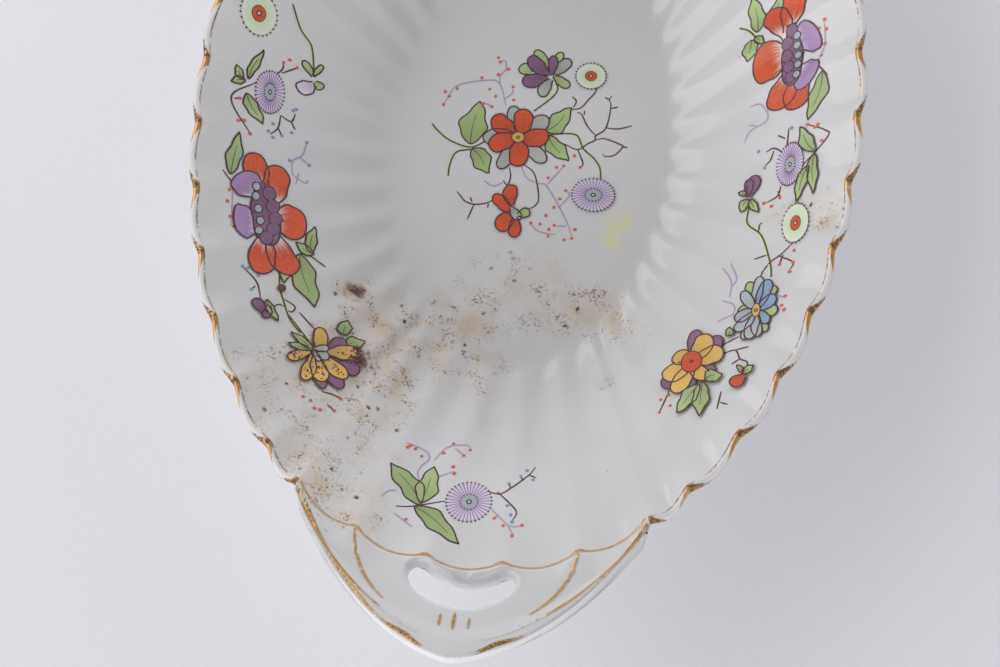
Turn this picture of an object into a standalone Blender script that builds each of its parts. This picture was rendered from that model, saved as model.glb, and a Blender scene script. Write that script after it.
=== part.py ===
"""Oval porcelain relish dish: fluted wall, scalloped gilt lip and two pierced lobe handles.

Units are metres with +Z up. The origin is on the table under the middle of the dish, the long
axis runs along Y and the short axis along X. Shape functions work in millimetres, and the
objects are made from them in metres.
"""

import math

import bmesh
import bpy
import numpy as np
from mathutils import Matrix, Vector

MM = 0.001

# Plan of the dish
RIM_HALF_WIDTH = 67.0
RIM_HALF_LENGTH = 100.0
WELL_HALF_WIDTH = 28.0
WELL_HALF_LENGTH = 48.5
TIP_REACH = 116.2

# Heights above the table
FOOT_HEIGHT = 3.2
WELL_HEIGHT = 7.5
SIDE_RIM_HEIGHT = 36.5
END_RIM_LIFT = 2.2

# Porcelain thickness
WELL_THICKNESS = 4.0
LIP_THICKNESS = 2.4
HANDLE_THICKNESS = 4.0
JOINT_GAP = 0.3

# Wall profile: a soft corner at the well, flattening towards the lip
WELL_CORNER = 0.10
WALL_FLARE = 0.25
WALL_STEPS = (0.0, 0.1, 0.25, 0.5, 0.8, 1.0)
WELL_STEPS = (0.5,)

# Flutes and scallops: the flutes show low on the wall and the scallops at the lip
FLUTES = 38
HALF_LAP = FLUTES / 2.0
HANDLE_FLUTES_ARC = 37.4
CORNER_FLUTE_ARC = 9.4
STEPS_PER_FLUTE = 6
FLUTE_DEPTH = 1.1
FLUTE_FULL = 0.15
FLUTE_FADES = 0.3
FLUTE_GONE = 0.6
SCALLOP_STARTS = 0.8
SCALLOP_HEIGHT = 1.2
SCALLOP_REACH = 1.2

# Foot ring
FOOT_OUTER_HALF_WIDTH = 27.0
FOOT_OUTER_HALF_LENGTH = 47.5
FOOT_WIDTH = 3.6

# Handles: each spans five scallops, from cusp to cusp
HANDLE_HALF_SPAN = 2.5
ROOT_INSET = 1.6
HANDLE_SLOPE = 0.36
HANDLE_ROOT_LIFT = 0.7
HANDLE_COLUMNS = 30
HANDLE_CORNER_WIDTH = 0.8
LOBE_SHOULDER = (27.5, -98.5)
LOBE_SIDE = (15.5, -113.5)
LOBE_TIP = (0.0, -TIP_REACH)

# Raised border of a handle, as shares of the way from its root to its edge
BORDER_STARTS = 0.62
BORDER_FULL = 0.82
BORDER_ROLLS = 0.9
BORDER_CORNER_FADE = 0.35
BORDER_LIFT = 0.6
BORDER_EDGE_DROP = 0.9
HANDLE_TOP_STEPS = (0.0, 0.4, BORDER_STARTS, 0.72, BORDER_FULL, BORDER_ROLLS, 1.0)
HANDLE_UNDER_STEPS = (0.88, 0.0)

# Finger slot: half its outline in its own plane, from the side nearest the bowl round to the far side
SLOT_CENTRE = (0.0, -101.1, 39.8)
SLOT_HALF = ((0.0, 2.6), (4.5, 3.5), (7.9, 4.5), (10.1, 2.6), (8.8, -0.9), (4.8, -3.5), (0.0, -4.3))
SLOT_CUT_REACH = 8.0

# Gilding: rods that stand clear of the glaze
GILT_RADIUS = 0.35
GILT_CLEARANCE = 0.4
GILT_LIFT = np.array((0.0, 0.0, GILT_CLEARANCE + GILT_RADIUS))
RIM_GILT_RADIUS = 0.5
RIM_GILT_LIFT = np.array((0.0, 0.0, GILT_CLEARANCE + RIM_GILT_RADIUS + 0.05))
RIM_GILT_CORNER_GAP = 0.2
ROOT_GILT_CORNER_GAP = 0.3
BORDER_GILT_STEP = 0.76
BORDER_GILT_ENDS = (0.9, 0.16)
ARC_GILT_SIDE = (0.6, -0.255)
ARC_GILT_OUT = (0.08, 0.59)
ARC_GILT_BEND = 1.65
DASH_SPACING = 2.5
DASH_STEPS = (0.48, 0.54, 0.6)

PORCELAIN = ((0.83, 0.84, 0.86, 1.0), 0.12, 0.0)
GOLD = ((0.72, 0.46, 0.21, 1.0), 0.3, 1.0)


def ellipse_reach(half_width, half_length, angle):
    """Distance from the centre to an ellipse, at a polar angle from +X."""
    across = half_length * np.cos(angle)
    along = half_width * np.sin(angle)
    return half_width * half_length / np.hypot(across, along)


def smooth_step(low, high, value):
    """Zero below low, one above high, with an even ramp between them."""
    share = np.clip((value - low) / (high - low), 0.0, 1.0)
    return share * share * (3.0 - 2.0 * share)


def flute_angle(phase):
    """Polar angle of a place counted in flutes along the rim from its -Y end.

    The flutes at a handle are wide, the one beside its corner is narrow and the rest share what is left.
    """
    samples = 4096
    turn = np.linspace(0.0, 2.0 * math.pi, samples + 1)
    x = RIM_HALF_WIDTH * np.sin(turn)
    y = -RIM_HALF_LENGTH * np.cos(turn)
    steps = np.hypot(np.diff(x), np.diff(y))
    distance = np.concatenate(([0.0], np.cumsum(steps)))
    polar = np.unwrap(np.arctan2(y, x))
    half = 0.5 * distance[-1]
    corner = HANDLE_HALF_SPAN
    near = np.array((0.0, corner, corner + 1.0))
    near_arc = np.array((0.0, HANDLE_FLUTES_ARC, HANDLE_FLUTES_ARC + CORNER_FLUTE_ARC))
    flutes = np.concatenate((near, HALF_LAP - near[::-1]))
    arcs = np.concatenate((near_arc, half - near_arc[::-1]))
    lap = np.floor(phase / HALF_LAP)
    arc = np.interp(phase - lap * HALF_LAP, flutes, arcs) + (lap % 2.0) * half
    return np.interp(arc, distance, polar)


def ridge(phase):
    """One at the cusp between two flutes, falling in a sharp crest to zero in mid-flute."""
    return 1.0 - np.abs(np.cos(math.pi * phase))


def climb(share):
    """Part of the wall's height reached at this share of the way from well to lip."""
    corner = np.hypot(share, WELL_CORNER) - WELL_CORNER
    full = (math.hypot(1.0, WELL_CORNER) - WELL_CORNER) * (1.0 - WALL_FLARE)
    return corner * (1.0 - WALL_FLARE * share) / full


def rim_reach(phase):
    """Outermost distance of the scalloped lip from the centre, drawn in a little behind each handle."""
    mean = ellipse_reach(RIM_HALF_WIDTH, RIM_HALF_LENGTH, flute_angle(phase))
    from_end = np.abs((phase + 0.5 * HALF_LAP) % HALF_LAP - 0.5 * HALF_LAP)
    behind_handle = np.minimum(from_end / HANDLE_HALF_SPAN, 1.0)
    inset = ROOT_INSET * np.cos(0.5 * math.pi * behind_handle) ** 2
    return mean + SCALLOP_REACH * (0.5 - ridge(phase)) - inset


def rim_height(phase):
    """Height of the lip's inner edge, before the scallops lift it."""
    return SIDE_RIM_HEIGHT + END_RIM_LIFT * np.sin(flute_angle(phase)) ** 2


def section_points(phase, reach, height):
    """Points at a distance from the centre and a height, one for each phase."""
    angle = flute_angle(phase)
    return np.column_stack((reach * np.cos(angle), reach * np.sin(angle), height))


def wall_points(phase, share, outside):
    """The wall at one share of the way from the well's edge to the lip."""
    well = ellipse_reach(WELL_HALF_WIDTH, WELL_HALF_LENGTH, flute_angle(phase))
    rise = rim_height(phase) - WELL_HEIGHT
    run = rim_reach(phase) - lip_overhang(phase) - well
    flute = FLUTE_DEPTH * smooth_step(0.0, FLUTE_FULL, share)
    flute *= 1.0 - smooth_step(FLUTE_FADES, FLUTE_GONE, share)
    scallop = SCALLOP_HEIGHT * smooth_step(SCALLOP_STARTS, 1.0, share)
    reach = well + run * share
    height = WELL_HEIGHT + rise * climb(share) + (flute + scallop) * (ridge(phase) - 0.5)
    if outside:
        slope = wall_slope(phase, share)
        thickness = WELL_THICKNESS + (LIP_THICKNESS - WELL_THICKNESS) * share
        reach = reach + thickness * np.sin(slope)
        height = height - thickness * np.cos(slope)
    return section_points(phase, reach, height)


def wall_slope(phase, share):
    """Angle of the wall above the horizontal."""
    nudge = 0.001
    grade = (climb(share + nudge) - climb(share - nudge)) / (2.0 * nudge)
    if share == 0.0:
        grade = 0.0
    well = ellipse_reach(WELL_HALF_WIDTH, WELL_HALF_LENGTH, flute_angle(phase))
    rim = ellipse_reach(RIM_HALF_WIDTH, RIM_HALF_LENGTH, flute_angle(phase))
    return np.arctan(grade * (rim_height(phase) - WELL_HEIGHT) / (rim - well))


def lip_overhang(phase):
    """How far the rounded lip stands outside its own inner edge."""
    slope = wall_slope(phase, 1.0)
    return 0.5 * LIP_THICKNESS * (np.sin(slope) + np.cos(slope))


def lip_points(phase):
    """The outermost line of the rounded lip."""
    slope = wall_slope(phase, 1.0)
    inner = wall_points(phase, 1.0, outside=False)
    drop = 0.5 * LIP_THICKNESS * (np.cos(slope) - np.sin(slope))
    return section_points(phase, rim_reach(phase), inner[:, 2] - drop)


def lobe_edge(side_share):
    """Plan of a handle's edge, from its corner (1 or -1) through the tip (0), at the -Y end."""
    corner = section_points(
        np.array([HANDLE_HALF_SPAN]), rim_reach(np.array([HANDLE_HALF_SPAN])), np.zeros(1)
    )[0]
    outward = corner / np.linalg.norm(corner)
    corner = corner + outward * (JOINT_GAP + HANDLE_CORNER_WIDTH)
    cage = (corner[:2], np.array(LOBE_SHOULDER), np.array(LOBE_SIDE), np.array(LOBE_TIP))
    along = (1.0 - np.abs(side_share))[:, None]
    back = 1.0 - along
    plan = back**3 * cage[0] + 3 * back**2 * along * cage[1]
    plan = plan + 3 * back * along**2 * cage[2] + along**3 * cage[3]
    plan[:, 0] *= np.where(side_share < 0.0, -1.0, 1.0)
    return plan


def handle_top(side_share, out_share):
    """Top face of the -Y handle, from its root (0) to its edge (1)."""
    phase = side_share * HANDLE_HALF_SPAN
    root = section_points(phase, rim_reach(phase) + JOINT_GAP, np.zeros(len(phase)))[:, :2]
    plan = root + (lobe_edge(side_share) - root) * out_share
    width = np.linalg.norm(plan - root, axis=1)
    border = BORDER_LIFT * smooth_step(BORDER_STARTS, BORDER_FULL, out_share)
    rolled = BORDER_EDGE_DROP * smooth_step(BORDER_ROLLS, 1.0, out_share)
    fade = smooth_step(0.0, BORDER_CORNER_FADE, 1.0 - np.abs(side_share))
    height = rim_height(phase) + HANDLE_ROOT_LIFT + HANDLE_SLOPE * width + (border - rolled) * fade
    return np.column_stack((plan, height))


def handle_under(side_share, out_share):
    """Underside of the -Y handle: its top face sunk square to the slope."""
    tilt = math.atan(HANDLE_SLOPE)
    top = handle_top(side_share, out_share)
    outward = top * (1.0, 1.0, 0.0)
    outward /= np.linalg.norm(outward, axis=1)[:, None]
    return top + HANDLE_THICKNESS * (outward * math.sin(tilt) - np.array((0.0, 0.0, math.cos(tilt))))


def material(name, look):
    """A Principled material with its own colour, roughness and metallic value."""
    color, roughness, metallic = look
    made = bpy.data.materials.new(name)
    made.use_nodes = True
    made.diffuse_color = color
    shader = made.node_tree.nodes["Principled BSDF"]
    shader.inputs["Base Color"].default_value = color
    shader.inputs["Roughness"].default_value = roughness
    shader.inputs["Metallic"].default_value = metallic
    return made


def mesh_object(name, verts, faces, collection, look):
    """A smooth-shaded mesh object from points in millimetres."""
    mesh = bpy.data.meshes.new(name)
    mesh.from_pydata([Vector(point) * MM for point in verts], [], faces)
    mesh.validate()
    mesh.shade_smooth()
    mesh.set_sharp_from_angle(angle=math.radians(40.0))
    obj = bpy.data.objects.new(name, mesh)
    if look:
        mesh.materials.append(material(name, look))
    collection.objects.link(obj)
    return obj


def loft(rings, closed):
    """Quads between successive rings of points; a closed ring joins its last point to its first."""
    count = len(rings[0])
    spans = count if closed else count - 1
    faces = []
    for row in range(len(rings) - 1):
        for step in range(spans):
            near = row * count + step
            next_near = row * count + (step + 1) % count
            faces.append((near, next_near, next_near + count, near + count))
    return [point for ring in rings for point in ring], faces


def face_out(obj):
    """Turn every face of a closed mesh to point out."""
    cage = bmesh.new()
    cage.from_mesh(obj.data)
    bmesh.ops.recalc_face_normals(cage, faces=cage.faces)
    cage.to_mesh(obj.data)
    cage.free()


def curve_to_mesh(curve_object, collection):
    """Replace a curve object by its welded mesh."""
    name = curve_object.name
    evaluated = curve_object.evaluated_get(bpy.context.evaluated_depsgraph_get())
    mesh = bpy.data.meshes.new_from_object(evaluated)
    weld = bmesh.new()
    weld.from_mesh(mesh)
    bmesh.ops.remove_doubles(weld, verts=weld.verts, dist=0.00001)
    bmesh.ops.recalc_face_normals(weld, faces=weld.faces)
    weld.to_mesh(mesh)
    weld.free()
    obj = bpy.data.objects.new(name + "_mesh", mesh)
    obj.matrix_world = curve_object.matrix_world.copy()
    bpy.data.objects.remove(curve_object)
    obj.name = name
    collection.objects.link(obj)
    return obj


def build_bowl(collection):
    """The oval body: a loft from the well, up the fluted wall, over the lip and back underneath."""
    phase = np.arange(FLUTES * STEPS_PER_FLUTE) / STEPS_PER_FLUTE
    inner_edge = wall_points(phase, 0.0, outside=False)
    outer_edge = wall_points(phase, 0.0, outside=True)
    rings = [inner_edge * (step, step, 1.0) for step in WELL_STEPS]
    rings += [wall_points(phase, share, outside=False) for share in WALL_STEPS]
    rings.append(lip_points(phase))
    rings += [wall_points(phase, share, outside=True) for share in reversed(WALL_STEPS)]
    rings += [outer_edge * (step, step, 1.0) for step in reversed(WELL_STEPS)]
    verts, faces = loft(rings, closed=True)
    count = len(phase)
    for first_vertex, height in ((0, WELL_HEIGHT), (len(verts) - count, WELL_HEIGHT - WELL_THICKNESS)):
        centre = len(verts)
        verts.append((0.0, 0.0, height))
        faces += [(first_vertex + i, first_vertex + (i + 1) % count, centre) for i in range(count)]
    face_out(mesh_object("bowl", verts, faces, collection, PORCELAIN))


def add_ellipse(curve, half_width, half_length):
    """A closed ellipse of four Bezier points in a curve."""
    arm = 4.0 / 3.0 * math.tan(math.pi / 8.0)
    spline = curve.splines.new("BEZIER")
    spline.bezier_points.add(3)
    spline.use_cyclic_u = True
    for step, point in enumerate(spline.bezier_points):
        turn = step * math.pi / 2.0
        place = Vector((half_width * math.cos(turn), half_length * math.sin(turn), 0.0)) * MM
        tangent = Vector((-half_width * math.sin(turn), half_length * math.cos(turn), 0.0)) * MM
        point.co = place
        point.handle_left = place - tangent * arm
        point.handle_right = place + tangent * arm


def build_foot_ring(collection):
    """The flat oval ring that the dish stands on."""
    curve = bpy.data.curves.new("foot_ring", "CURVE")
    curve.dimensions = "2D"
    curve.fill_mode = "BOTH"
    curve.resolution_u = 16
    curve.extrude = 0.5 * FOOT_HEIGHT * MM
    add_ellipse(curve, FOOT_OUTER_HALF_WIDTH, FOOT_OUTER_HALF_LENGTH)
    add_ellipse(curve, FOOT_OUTER_HALF_WIDTH - FOOT_WIDTH, FOOT_OUTER_HALF_LENGTH - FOOT_WIDTH)
    ring = bpy.data.objects.new("foot_ring", curve)
    ring.location = (0.0, 0.0, 0.5 * FOOT_HEIGHT * MM)
    collection.objects.link(ring)
    bpy.context.view_layer.update()
    solid = curve_to_mesh(ring, collection)
    solid.data.materials.append(material("foot_ring", PORCELAIN))


def build_slot_cutter(name, end, cutters):
    """A half-moon finger slot, cut square to the handle's slope."""
    outline = SLOT_HALF + tuple((-x, y) for x, y in reversed(SLOT_HALF[1:-1]))
    curve = bpy.data.curves.new(name, "CURVE")
    curve.dimensions = "2D"
    curve.fill_mode = "BOTH"
    curve.resolution_u = 4
    curve.extrude = SLOT_CUT_REACH * MM
    spline = curve.splines.new("BEZIER")
    spline.bezier_points.add(len(outline) - 1)
    spline.use_cyclic_u = True
    for point, place in zip(spline.bezier_points, outline):
        point.co = (place[0] * MM, place[1] * MM, 0.0)
        point.handle_left_type = "AUTO"
        point.handle_right_type = "AUTO"
    cutter = bpy.data.objects.new(name, curve)
    tilt = Matrix.Rotation(-math.atan(HANDLE_SLOPE), 4, "X")
    middle = Matrix.Translation(Vector(SLOT_CENTRE) * MM)
    cutter.matrix_world = end @ middle @ tilt
    cutters.objects.link(cutter)
    bpy.context.view_layer.update()
    solid = curve_to_mesh(cutter, cutters)
    solid.hide_render = True
    solid.display_type = "WIRE"
    return solid


def build_handle(name, end, collection, cutters):
    """A pierced lobe: a sloping crescent plate with a rolled border, on the scallops of one end."""
    side_share = np.linspace(-1.0, 1.0, HANDLE_COLUMNS + 1)
    rings = [handle_top(side_share, step) for step in HANDLE_TOP_STEPS]
    rings += [handle_under(side_share, step) for step in HANDLE_UNDER_STEPS]
    verts, faces = loft(rings, closed=False)
    count = len(side_share)
    last = (len(rings) - 1) * count
    faces += [(last + i, last + i + 1, i + 1, i) for i in range(count - 1)]
    for column in (0, count - 1):
        faces.append([row * count + column for row in range(len(rings))])
    plate = mesh_object(name, verts, faces, collection, PORCELAIN)
    plate.matrix_world = end
    face_out(plate)
    slot = build_slot_cutter(name + "_slot", end, cutters)
    cut = plate.modifiers.new("finger_slot", "BOOLEAN")
    cut.operation = "DIFFERENCE"
    cut.object = slot


def build_gilt_line(name, points, radius, end, collection):
    """A raised gilt line: a thin rod along points in millimetres."""
    curve = bpy.data.curves.new(name, "CURVE")
    curve.dimensions = "3D"
    curve.bevel_depth = radius * MM
    curve.bevel_resolution = 1
    curve.use_fill_caps = True
    spline = curve.splines.new("POLY")
    spline.points.add(len(points) - 1)
    for knot, place in zip(spline.points, points):
        knot.co = (place[0] * MM, place[1] * MM, place[2] * MM, 1.0)
    curve.materials.append(material(name, GOLD))
    line = bpy.data.objects.new(name, curve)
    line.matrix_world = end
    collection.objects.link(line)


def build_rim_gilding(collection):
    """The gilt line on the lip's inner edge, in one run on each side between the handles."""
    level = Matrix.Identity(4)
    inset = HANDLE_HALF_SPAN + RIM_GILT_CORNER_GAP
    for name, first in (("rim_gilding_right", 0.0), ("rim_gilding_left", HALF_LAP)):
        steps = int((HALF_LAP - 2.0 * HANDLE_HALF_SPAN) * STEPS_PER_FLUTE)
        phase = np.linspace(first + inset, first + HALF_LAP - inset, steps + 1)
        points = wall_points(phase, 1.0, outside=False) + RIM_GILT_LIFT
        build_gilt_line(name, points, RIM_GILT_RADIUS, level, collection)


def build_handle_gilding(place, end, collection):
    """Gilt on one handle: the line on its root, a border line and an arc on each side, three dashes."""
    span = HANDLE_HALF_SPAN - ROOT_GILT_CORNER_GAP
    phase = np.linspace(-span, span, HANDLE_COLUMNS + 1)
    root = wall_points(phase, 1.0, outside=False) + GILT_LIFT
    build_gilt_line("root_gilding_" + place, root, GILT_RADIUS, end, collection)
    sweep = np.linspace(0.0, 1.0, 9)
    for side, sign in (("left", -1.0), ("right", 1.0)):
        border_share = sign * np.linspace(BORDER_GILT_ENDS[0], BORDER_GILT_ENDS[1], 12)
        border = handle_top(border_share, BORDER_GILT_STEP) + GILT_LIFT
        build_gilt_line(f"border_gilding_{place}_{side}", border, GILT_RADIUS, end, collection)
        share = sign * (ARC_GILT_SIDE[0] + ARC_GILT_SIDE[1] * sweep**ARC_GILT_BEND)
        out = ARC_GILT_OUT[0] + ARC_GILT_OUT[1] * sweep
        arc = np.concatenate([handle_top(share[i : i + 1], out[i]) for i in range(len(sweep))])
        build_gilt_line(f"arc_gilding_{place}_{side}", arc + GILT_LIFT, GILT_RADIUS, end, collection)
    for label, x in (("left", -DASH_SPACING), ("middle", 0.0), ("right", DASH_SPACING)):
        dash = np.concatenate([handle_top(np.zeros(1), step) for step in DASH_STEPS])
        dash[:, 0] = x
        build_gilt_line(f"dash_gilding_{place}_{label}", dash + GILT_LIFT, GILT_RADIUS, end, collection)


def main():
    """Build the dish in its own collection."""
    for obj in list(bpy.data.objects):
        bpy.data.objects.remove(obj)
    dish = bpy.data.collections.new("relish_dish")
    cutters = bpy.data.collections.new("cutters")
    for collection in (dish, cutters):
        bpy.context.scene.collection.children.link(collection)

    build_bowl(dish)
    build_foot_ring(dish)
    build_rim_gilding(dish)
    for place, turn in (("front", 0.0), ("back", math.pi)):
        end = Matrix.Rotation(turn, 4, "Z")
        build_handle("handle_" + place, end, dish, cutters)
        build_handle_gilding(place, end, dish)


main()
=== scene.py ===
"""Oval porcelain dish: glazed body, worn gilding, printed flower sprays and old dirt.

The shape functions work in millimetres in the dish's own frame: the origin is on the table under
the middle of the dish, and the long axis runs along Y. Objects are made from them in metres.
"""

import math

import bmesh
import bpy
import numpy as np
from mathutils import Matrix, Vector
from mathutils.bvhtree import BVHTree


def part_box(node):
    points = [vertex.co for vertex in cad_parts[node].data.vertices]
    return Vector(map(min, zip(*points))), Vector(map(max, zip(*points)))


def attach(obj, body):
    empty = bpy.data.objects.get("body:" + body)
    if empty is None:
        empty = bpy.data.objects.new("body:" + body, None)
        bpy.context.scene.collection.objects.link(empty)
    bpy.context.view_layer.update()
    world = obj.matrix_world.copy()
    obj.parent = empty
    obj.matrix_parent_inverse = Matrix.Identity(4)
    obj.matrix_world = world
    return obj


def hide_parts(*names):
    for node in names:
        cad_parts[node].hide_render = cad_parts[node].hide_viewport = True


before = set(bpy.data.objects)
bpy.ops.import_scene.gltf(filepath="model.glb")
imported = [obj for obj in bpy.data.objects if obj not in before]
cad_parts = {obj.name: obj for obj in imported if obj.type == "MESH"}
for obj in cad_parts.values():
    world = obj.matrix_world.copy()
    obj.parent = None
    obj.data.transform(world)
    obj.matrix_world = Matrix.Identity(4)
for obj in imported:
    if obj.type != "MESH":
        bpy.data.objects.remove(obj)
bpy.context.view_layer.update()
MM = 0.001


def box_mm(node):
    """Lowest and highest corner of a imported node, in millimetres."""
    low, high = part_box(node)
    return np.array(low) / MM, np.array(high) / MM


BOWL_HIGH = box_mm("bowl")[1]
FOOT_HIGH = box_mm("foot_ring")[1]
HANDLE_LOW, HANDLE_HIGH = box_mm("handle_front")

# Plan of the dish
RIM_INSIDE_BOWL = 0.6
RIM_PAST_BOWL = 1.0
RIM_HALF_WIDTH = BOWL_HIGH[0] - RIM_INSIDE_BOWL
RIM_HALF_LENGTH = BOWL_HIGH[1] + RIM_PAST_BOWL
WELL_HALF_WIDTH = 28.0
WELL_HALF_LENGTH = 48.5

# Heights above the table
FOOT_HEIGHT = FOOT_HIGH[2]
WELL_HEIGHT = 7.5
SIDE_RIM_HEIGHT = 36.5
END_RIM_LIFT = 2.2

# Porcelain thickness
WELL_THICKNESS = 4.0
LIP_THICKNESS = 1.7
HANDLE_THICKNESS = 4.0

# Wall profile
WELL_CORNER = 0.21
WALL_FLARE = 0.16
WELL_STEPS = np.linspace(0.12, 0.94, 9)
WALL_STEPS = np.concatenate(
    (np.linspace(0.0, 0.3, 17), np.linspace(0.33, 0.79, 15), np.linspace(0.81, 1.0, 11))
)
OUTSIDE_STEPS = np.linspace(1.0, 0.0, 14)
LIP_TURNS = np.linspace(0.0, math.pi, 11)[1:-1]

# Flutes and scallops
FLUTES = 38
HALF_LAP = FLUTES / 2.0
HANDLE_FLUTES_ARC = 37.4
CORNER_FLUTE_ARC = 9.4
FLUTE_COLUMNS = 16
FLUTE_DEPTH = 0.85
FLUTE_FULL = 0.14
FLUTE_FADES = 0.3
FLUTE_GONE = 0.68
SCALLOP_STARTS = 0.86
SCALLOP_HEIGHT = 1.0
SCALLOP_REACH = 1.2
CUSP_PINCH = 0.12
CREST_SOFTNESS = 0.28

# Foot ring
FOOT_OUTER = (FOOT_HIGH[0], FOOT_HIGH[1])
FOOT_WIDTH = 3.6
FOOT_TOP = FOOT_HEIGHT + 0.6
FOOT_COLUMNS = 240
# its section, as distance in from the outer edge and height
FOOT_PROFILE = (
    (0.0, FOOT_TOP), (0.15, 1.2), (0.5, 0.35), (1.1, 0.0), (2.5, 0.0), (3.1, 0.35), (3.45, 1.2),
    (FOOT_WIDTH, FOOT_TOP),
)

# Handles
HANDLE_HALF_SPAN = 2.5
ROOT_INSET = 1.6
HANDLE_SLOPE = 0.36
HANDLE_CORNER_WIDTH = 0.4
EDGE_ROUNDING = 0.5
EDGE_THICKENS = 0.25
EDGE_TURNS = np.linspace(-0.5 * math.pi, 0.5 * math.pi, 13)[:-1]
LOBE_SHOULDER = (27.5, -98.5)
LOBE_SIDE = (15.5, -113.5)
LOBE_TIP = (0.0, HANDLE_LOW[1])
BORDER_STARTS = 0.62
BORDER_FULL = 0.82
BORDER_CORNER_FADE = 0.35
BORDER_LIFT = 0.6
ROOT_SCALLOP_FADE = 0.3
ROOT_COVER_LIFT = 0.38
ROOT_COVER_WIDTH = 0.7
HANDLE_ROWS = 26
HANDLE_EDGE_COLUMNS = 90
NEWTON_STEPS = 12
SLOT_CENTRE = (0.0, -101.1)
SLOT_HALF = ((0.0, 2.4), (4.5, 3.3), (7.9, 4.3), (10.1, 2.4), (8.8, -1.1), (4.8, -3.5), (0.0, -4.3))
SLOT_SAMPLES = 1200
SLOT_EDGE_RADIUS = 1.1
SLOT_ROLL_WIDTH = 1.9
SLOT_ROLL_MIDDLE = 1.2
SLOT_ROLL_REACH = 9.0
SLOT_ROLL_STARTS = -1.0
SLOT_ROLL_FULL = 2.2
SLOT_ROLL_DEPTH = 2.4
SLOT_LOWER_RADIUS = 0.8
SLOT_TOP_TURNS = np.linspace(0.0, 0.5 * math.pi, 12)[1:]
SLOT_BOTTOM_TURNS = np.linspace(0.5 * math.pi, 0.0, 6)

# Films over the glaze in millimetres, and the height in metres that they are laid down from
GILT_LIFT = 0.05
GILT_CROWN = 0.03
RIM_GILT_STARTS = 0.992
RIM_GILT_TURNS = np.linspace(0.0, 2.6, 12)
PRINT_LIFT = 0.04
PRINT_STEP = 0.008
OUTLINE_LIFT = 0.012
OUTLINE_WIDTH = 0.3
DROP_HEIGHT = 0.2
LINE_SPACING = 0.4
BERRY_RADIUS = 0.36
DAISY_RAYS = 34
PRINT_SEED = 7

# Gilt dashes near a handle's tip: x, start, stop, width
DASHES = ((-2.6, -107.2, -109.4, 0.75), (0.0, -106.7, -109.9, 0.9), (2.8, -107.4, -109.5, 0.65))

# Printed colours, as light reflected from the fired enamel
RED = (0.61, 0.080, 0.022)
PALE_RED = (0.80, 0.42, 0.32)
PURPLE = (0.22, 0.105, 0.20)
MAUVE = (0.36, 0.22, 0.42)
LILAC = (0.46, 0.35, 0.52)
PALE_LILAC = (0.66, 0.61, 0.74)
GREEN = (0.36, 0.48, 0.20)
PALE_GREEN = (0.64, 0.74, 0.50)
PALEST_GREEN = (0.74, 0.80, 0.66)
YELLOW = (0.66, 0.41, 0.10)
GREY = (0.40, 0.42, 0.38)
BLUE = (0.22, 0.33, 0.50)
GREY_BLUE = (0.38, 0.43, 0.46)
BROWN = (0.135, 0.045, 0.045)
STEM = (0.115, 0.085, 0.045)
INK = (0.085, 0.030, 0.035)
BERRY = (0.72, 0.13, 0.055)
THROAT = (0.82, 0.66, 0.58)


# ---------------------------------------------------------------- shape of the dish


def ellipse_reach(half_width, half_length, angle):
    """Distance from the centre to an ellipse, at a polar angle from +X."""
    across = half_length * np.cos(angle)
    along = half_width * np.sin(angle)
    return half_width * half_length / np.hypot(across, along)


def smooth_step(low, high, value):
    """Zero below low, one above high, with an even ramp between them."""
    share = np.clip((value - low) / (high - low), 0.0, 1.0)
    return share * share * (3.0 - 2.0 * share)


def flute_angle(phase):
    """Polar angle of a place counted in flutes along the rim from its -Y end."""
    samples = 4096
    turn = np.linspace(0.0, 2.0 * math.pi, samples + 1)
    x = RIM_HALF_WIDTH * np.sin(turn)
    y = -RIM_HALF_LENGTH * np.cos(turn)
    steps = np.hypot(np.diff(x), np.diff(y))
    distance = np.concatenate(([0.0], np.cumsum(steps)))
    polar = np.unwrap(np.arctan2(y, x))
    half = 0.5 * distance[-1]
    near = np.array((0.0, HANDLE_HALF_SPAN, HANDLE_HALF_SPAN + 1.0))
    near_arc = np.array((0.0, HANDLE_FLUTES_ARC, HANDLE_FLUTES_ARC + CORNER_FLUTE_ARC))
    flutes = np.concatenate((near, HALF_LAP - near[::-1]))
    arcs = np.concatenate((near_arc, half - near_arc[::-1]))
    lap = np.floor(phase / HALF_LAP)
    arc = np.interp(phase - lap * HALF_LAP, flutes, arcs) + (lap % 2.0) * half
    whole = np.floor(arc / distance[-1])
    return np.interp(arc - whole * distance[-1], distance, polar)


def ridge(phase):
    """One at the cusp between two flutes, falling from a rounded crest to zero in mid-flute."""
    arch = np.hypot(np.cos(math.pi * phase), CREST_SOFTNESS) - CREST_SOFTNESS
    return 1.0 - arch / (math.hypot(1.0, CREST_SOFTNESS) - CREST_SOFTNESS)


def swell(phase):
    """One at the cusp between two flutes and zero in mid-flute, in an even wave."""
    return 0.5 - 0.5 * np.cos(2.0 * math.pi * phase)


def from_cusp(phase):
    """Distance from the nearest cusp, in flutes."""
    return np.abs((phase % 1.0) - 0.5)


def climb(share):
    """Part of the wall's height reached at this share of the way from well to lip."""
    corner = np.hypot(share, WELL_CORNER) - WELL_CORNER
    full = (math.hypot(1.0, WELL_CORNER) - WELL_CORNER) * (1.0 - WALL_FLARE)
    return corner * (1.0 - WALL_FLARE * share) / full


def well_reach(phase):
    """Distance from the centre to the well's edge."""
    return ellipse_reach(WELL_HALF_WIDTH, WELL_HALF_LENGTH, flute_angle(phase))


def mean_rim_reach(phase):
    """Distance from the centre to the middle of the scallops."""
    return ellipse_reach(RIM_HALF_WIDTH, RIM_HALF_LENGTH, flute_angle(phase))


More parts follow.
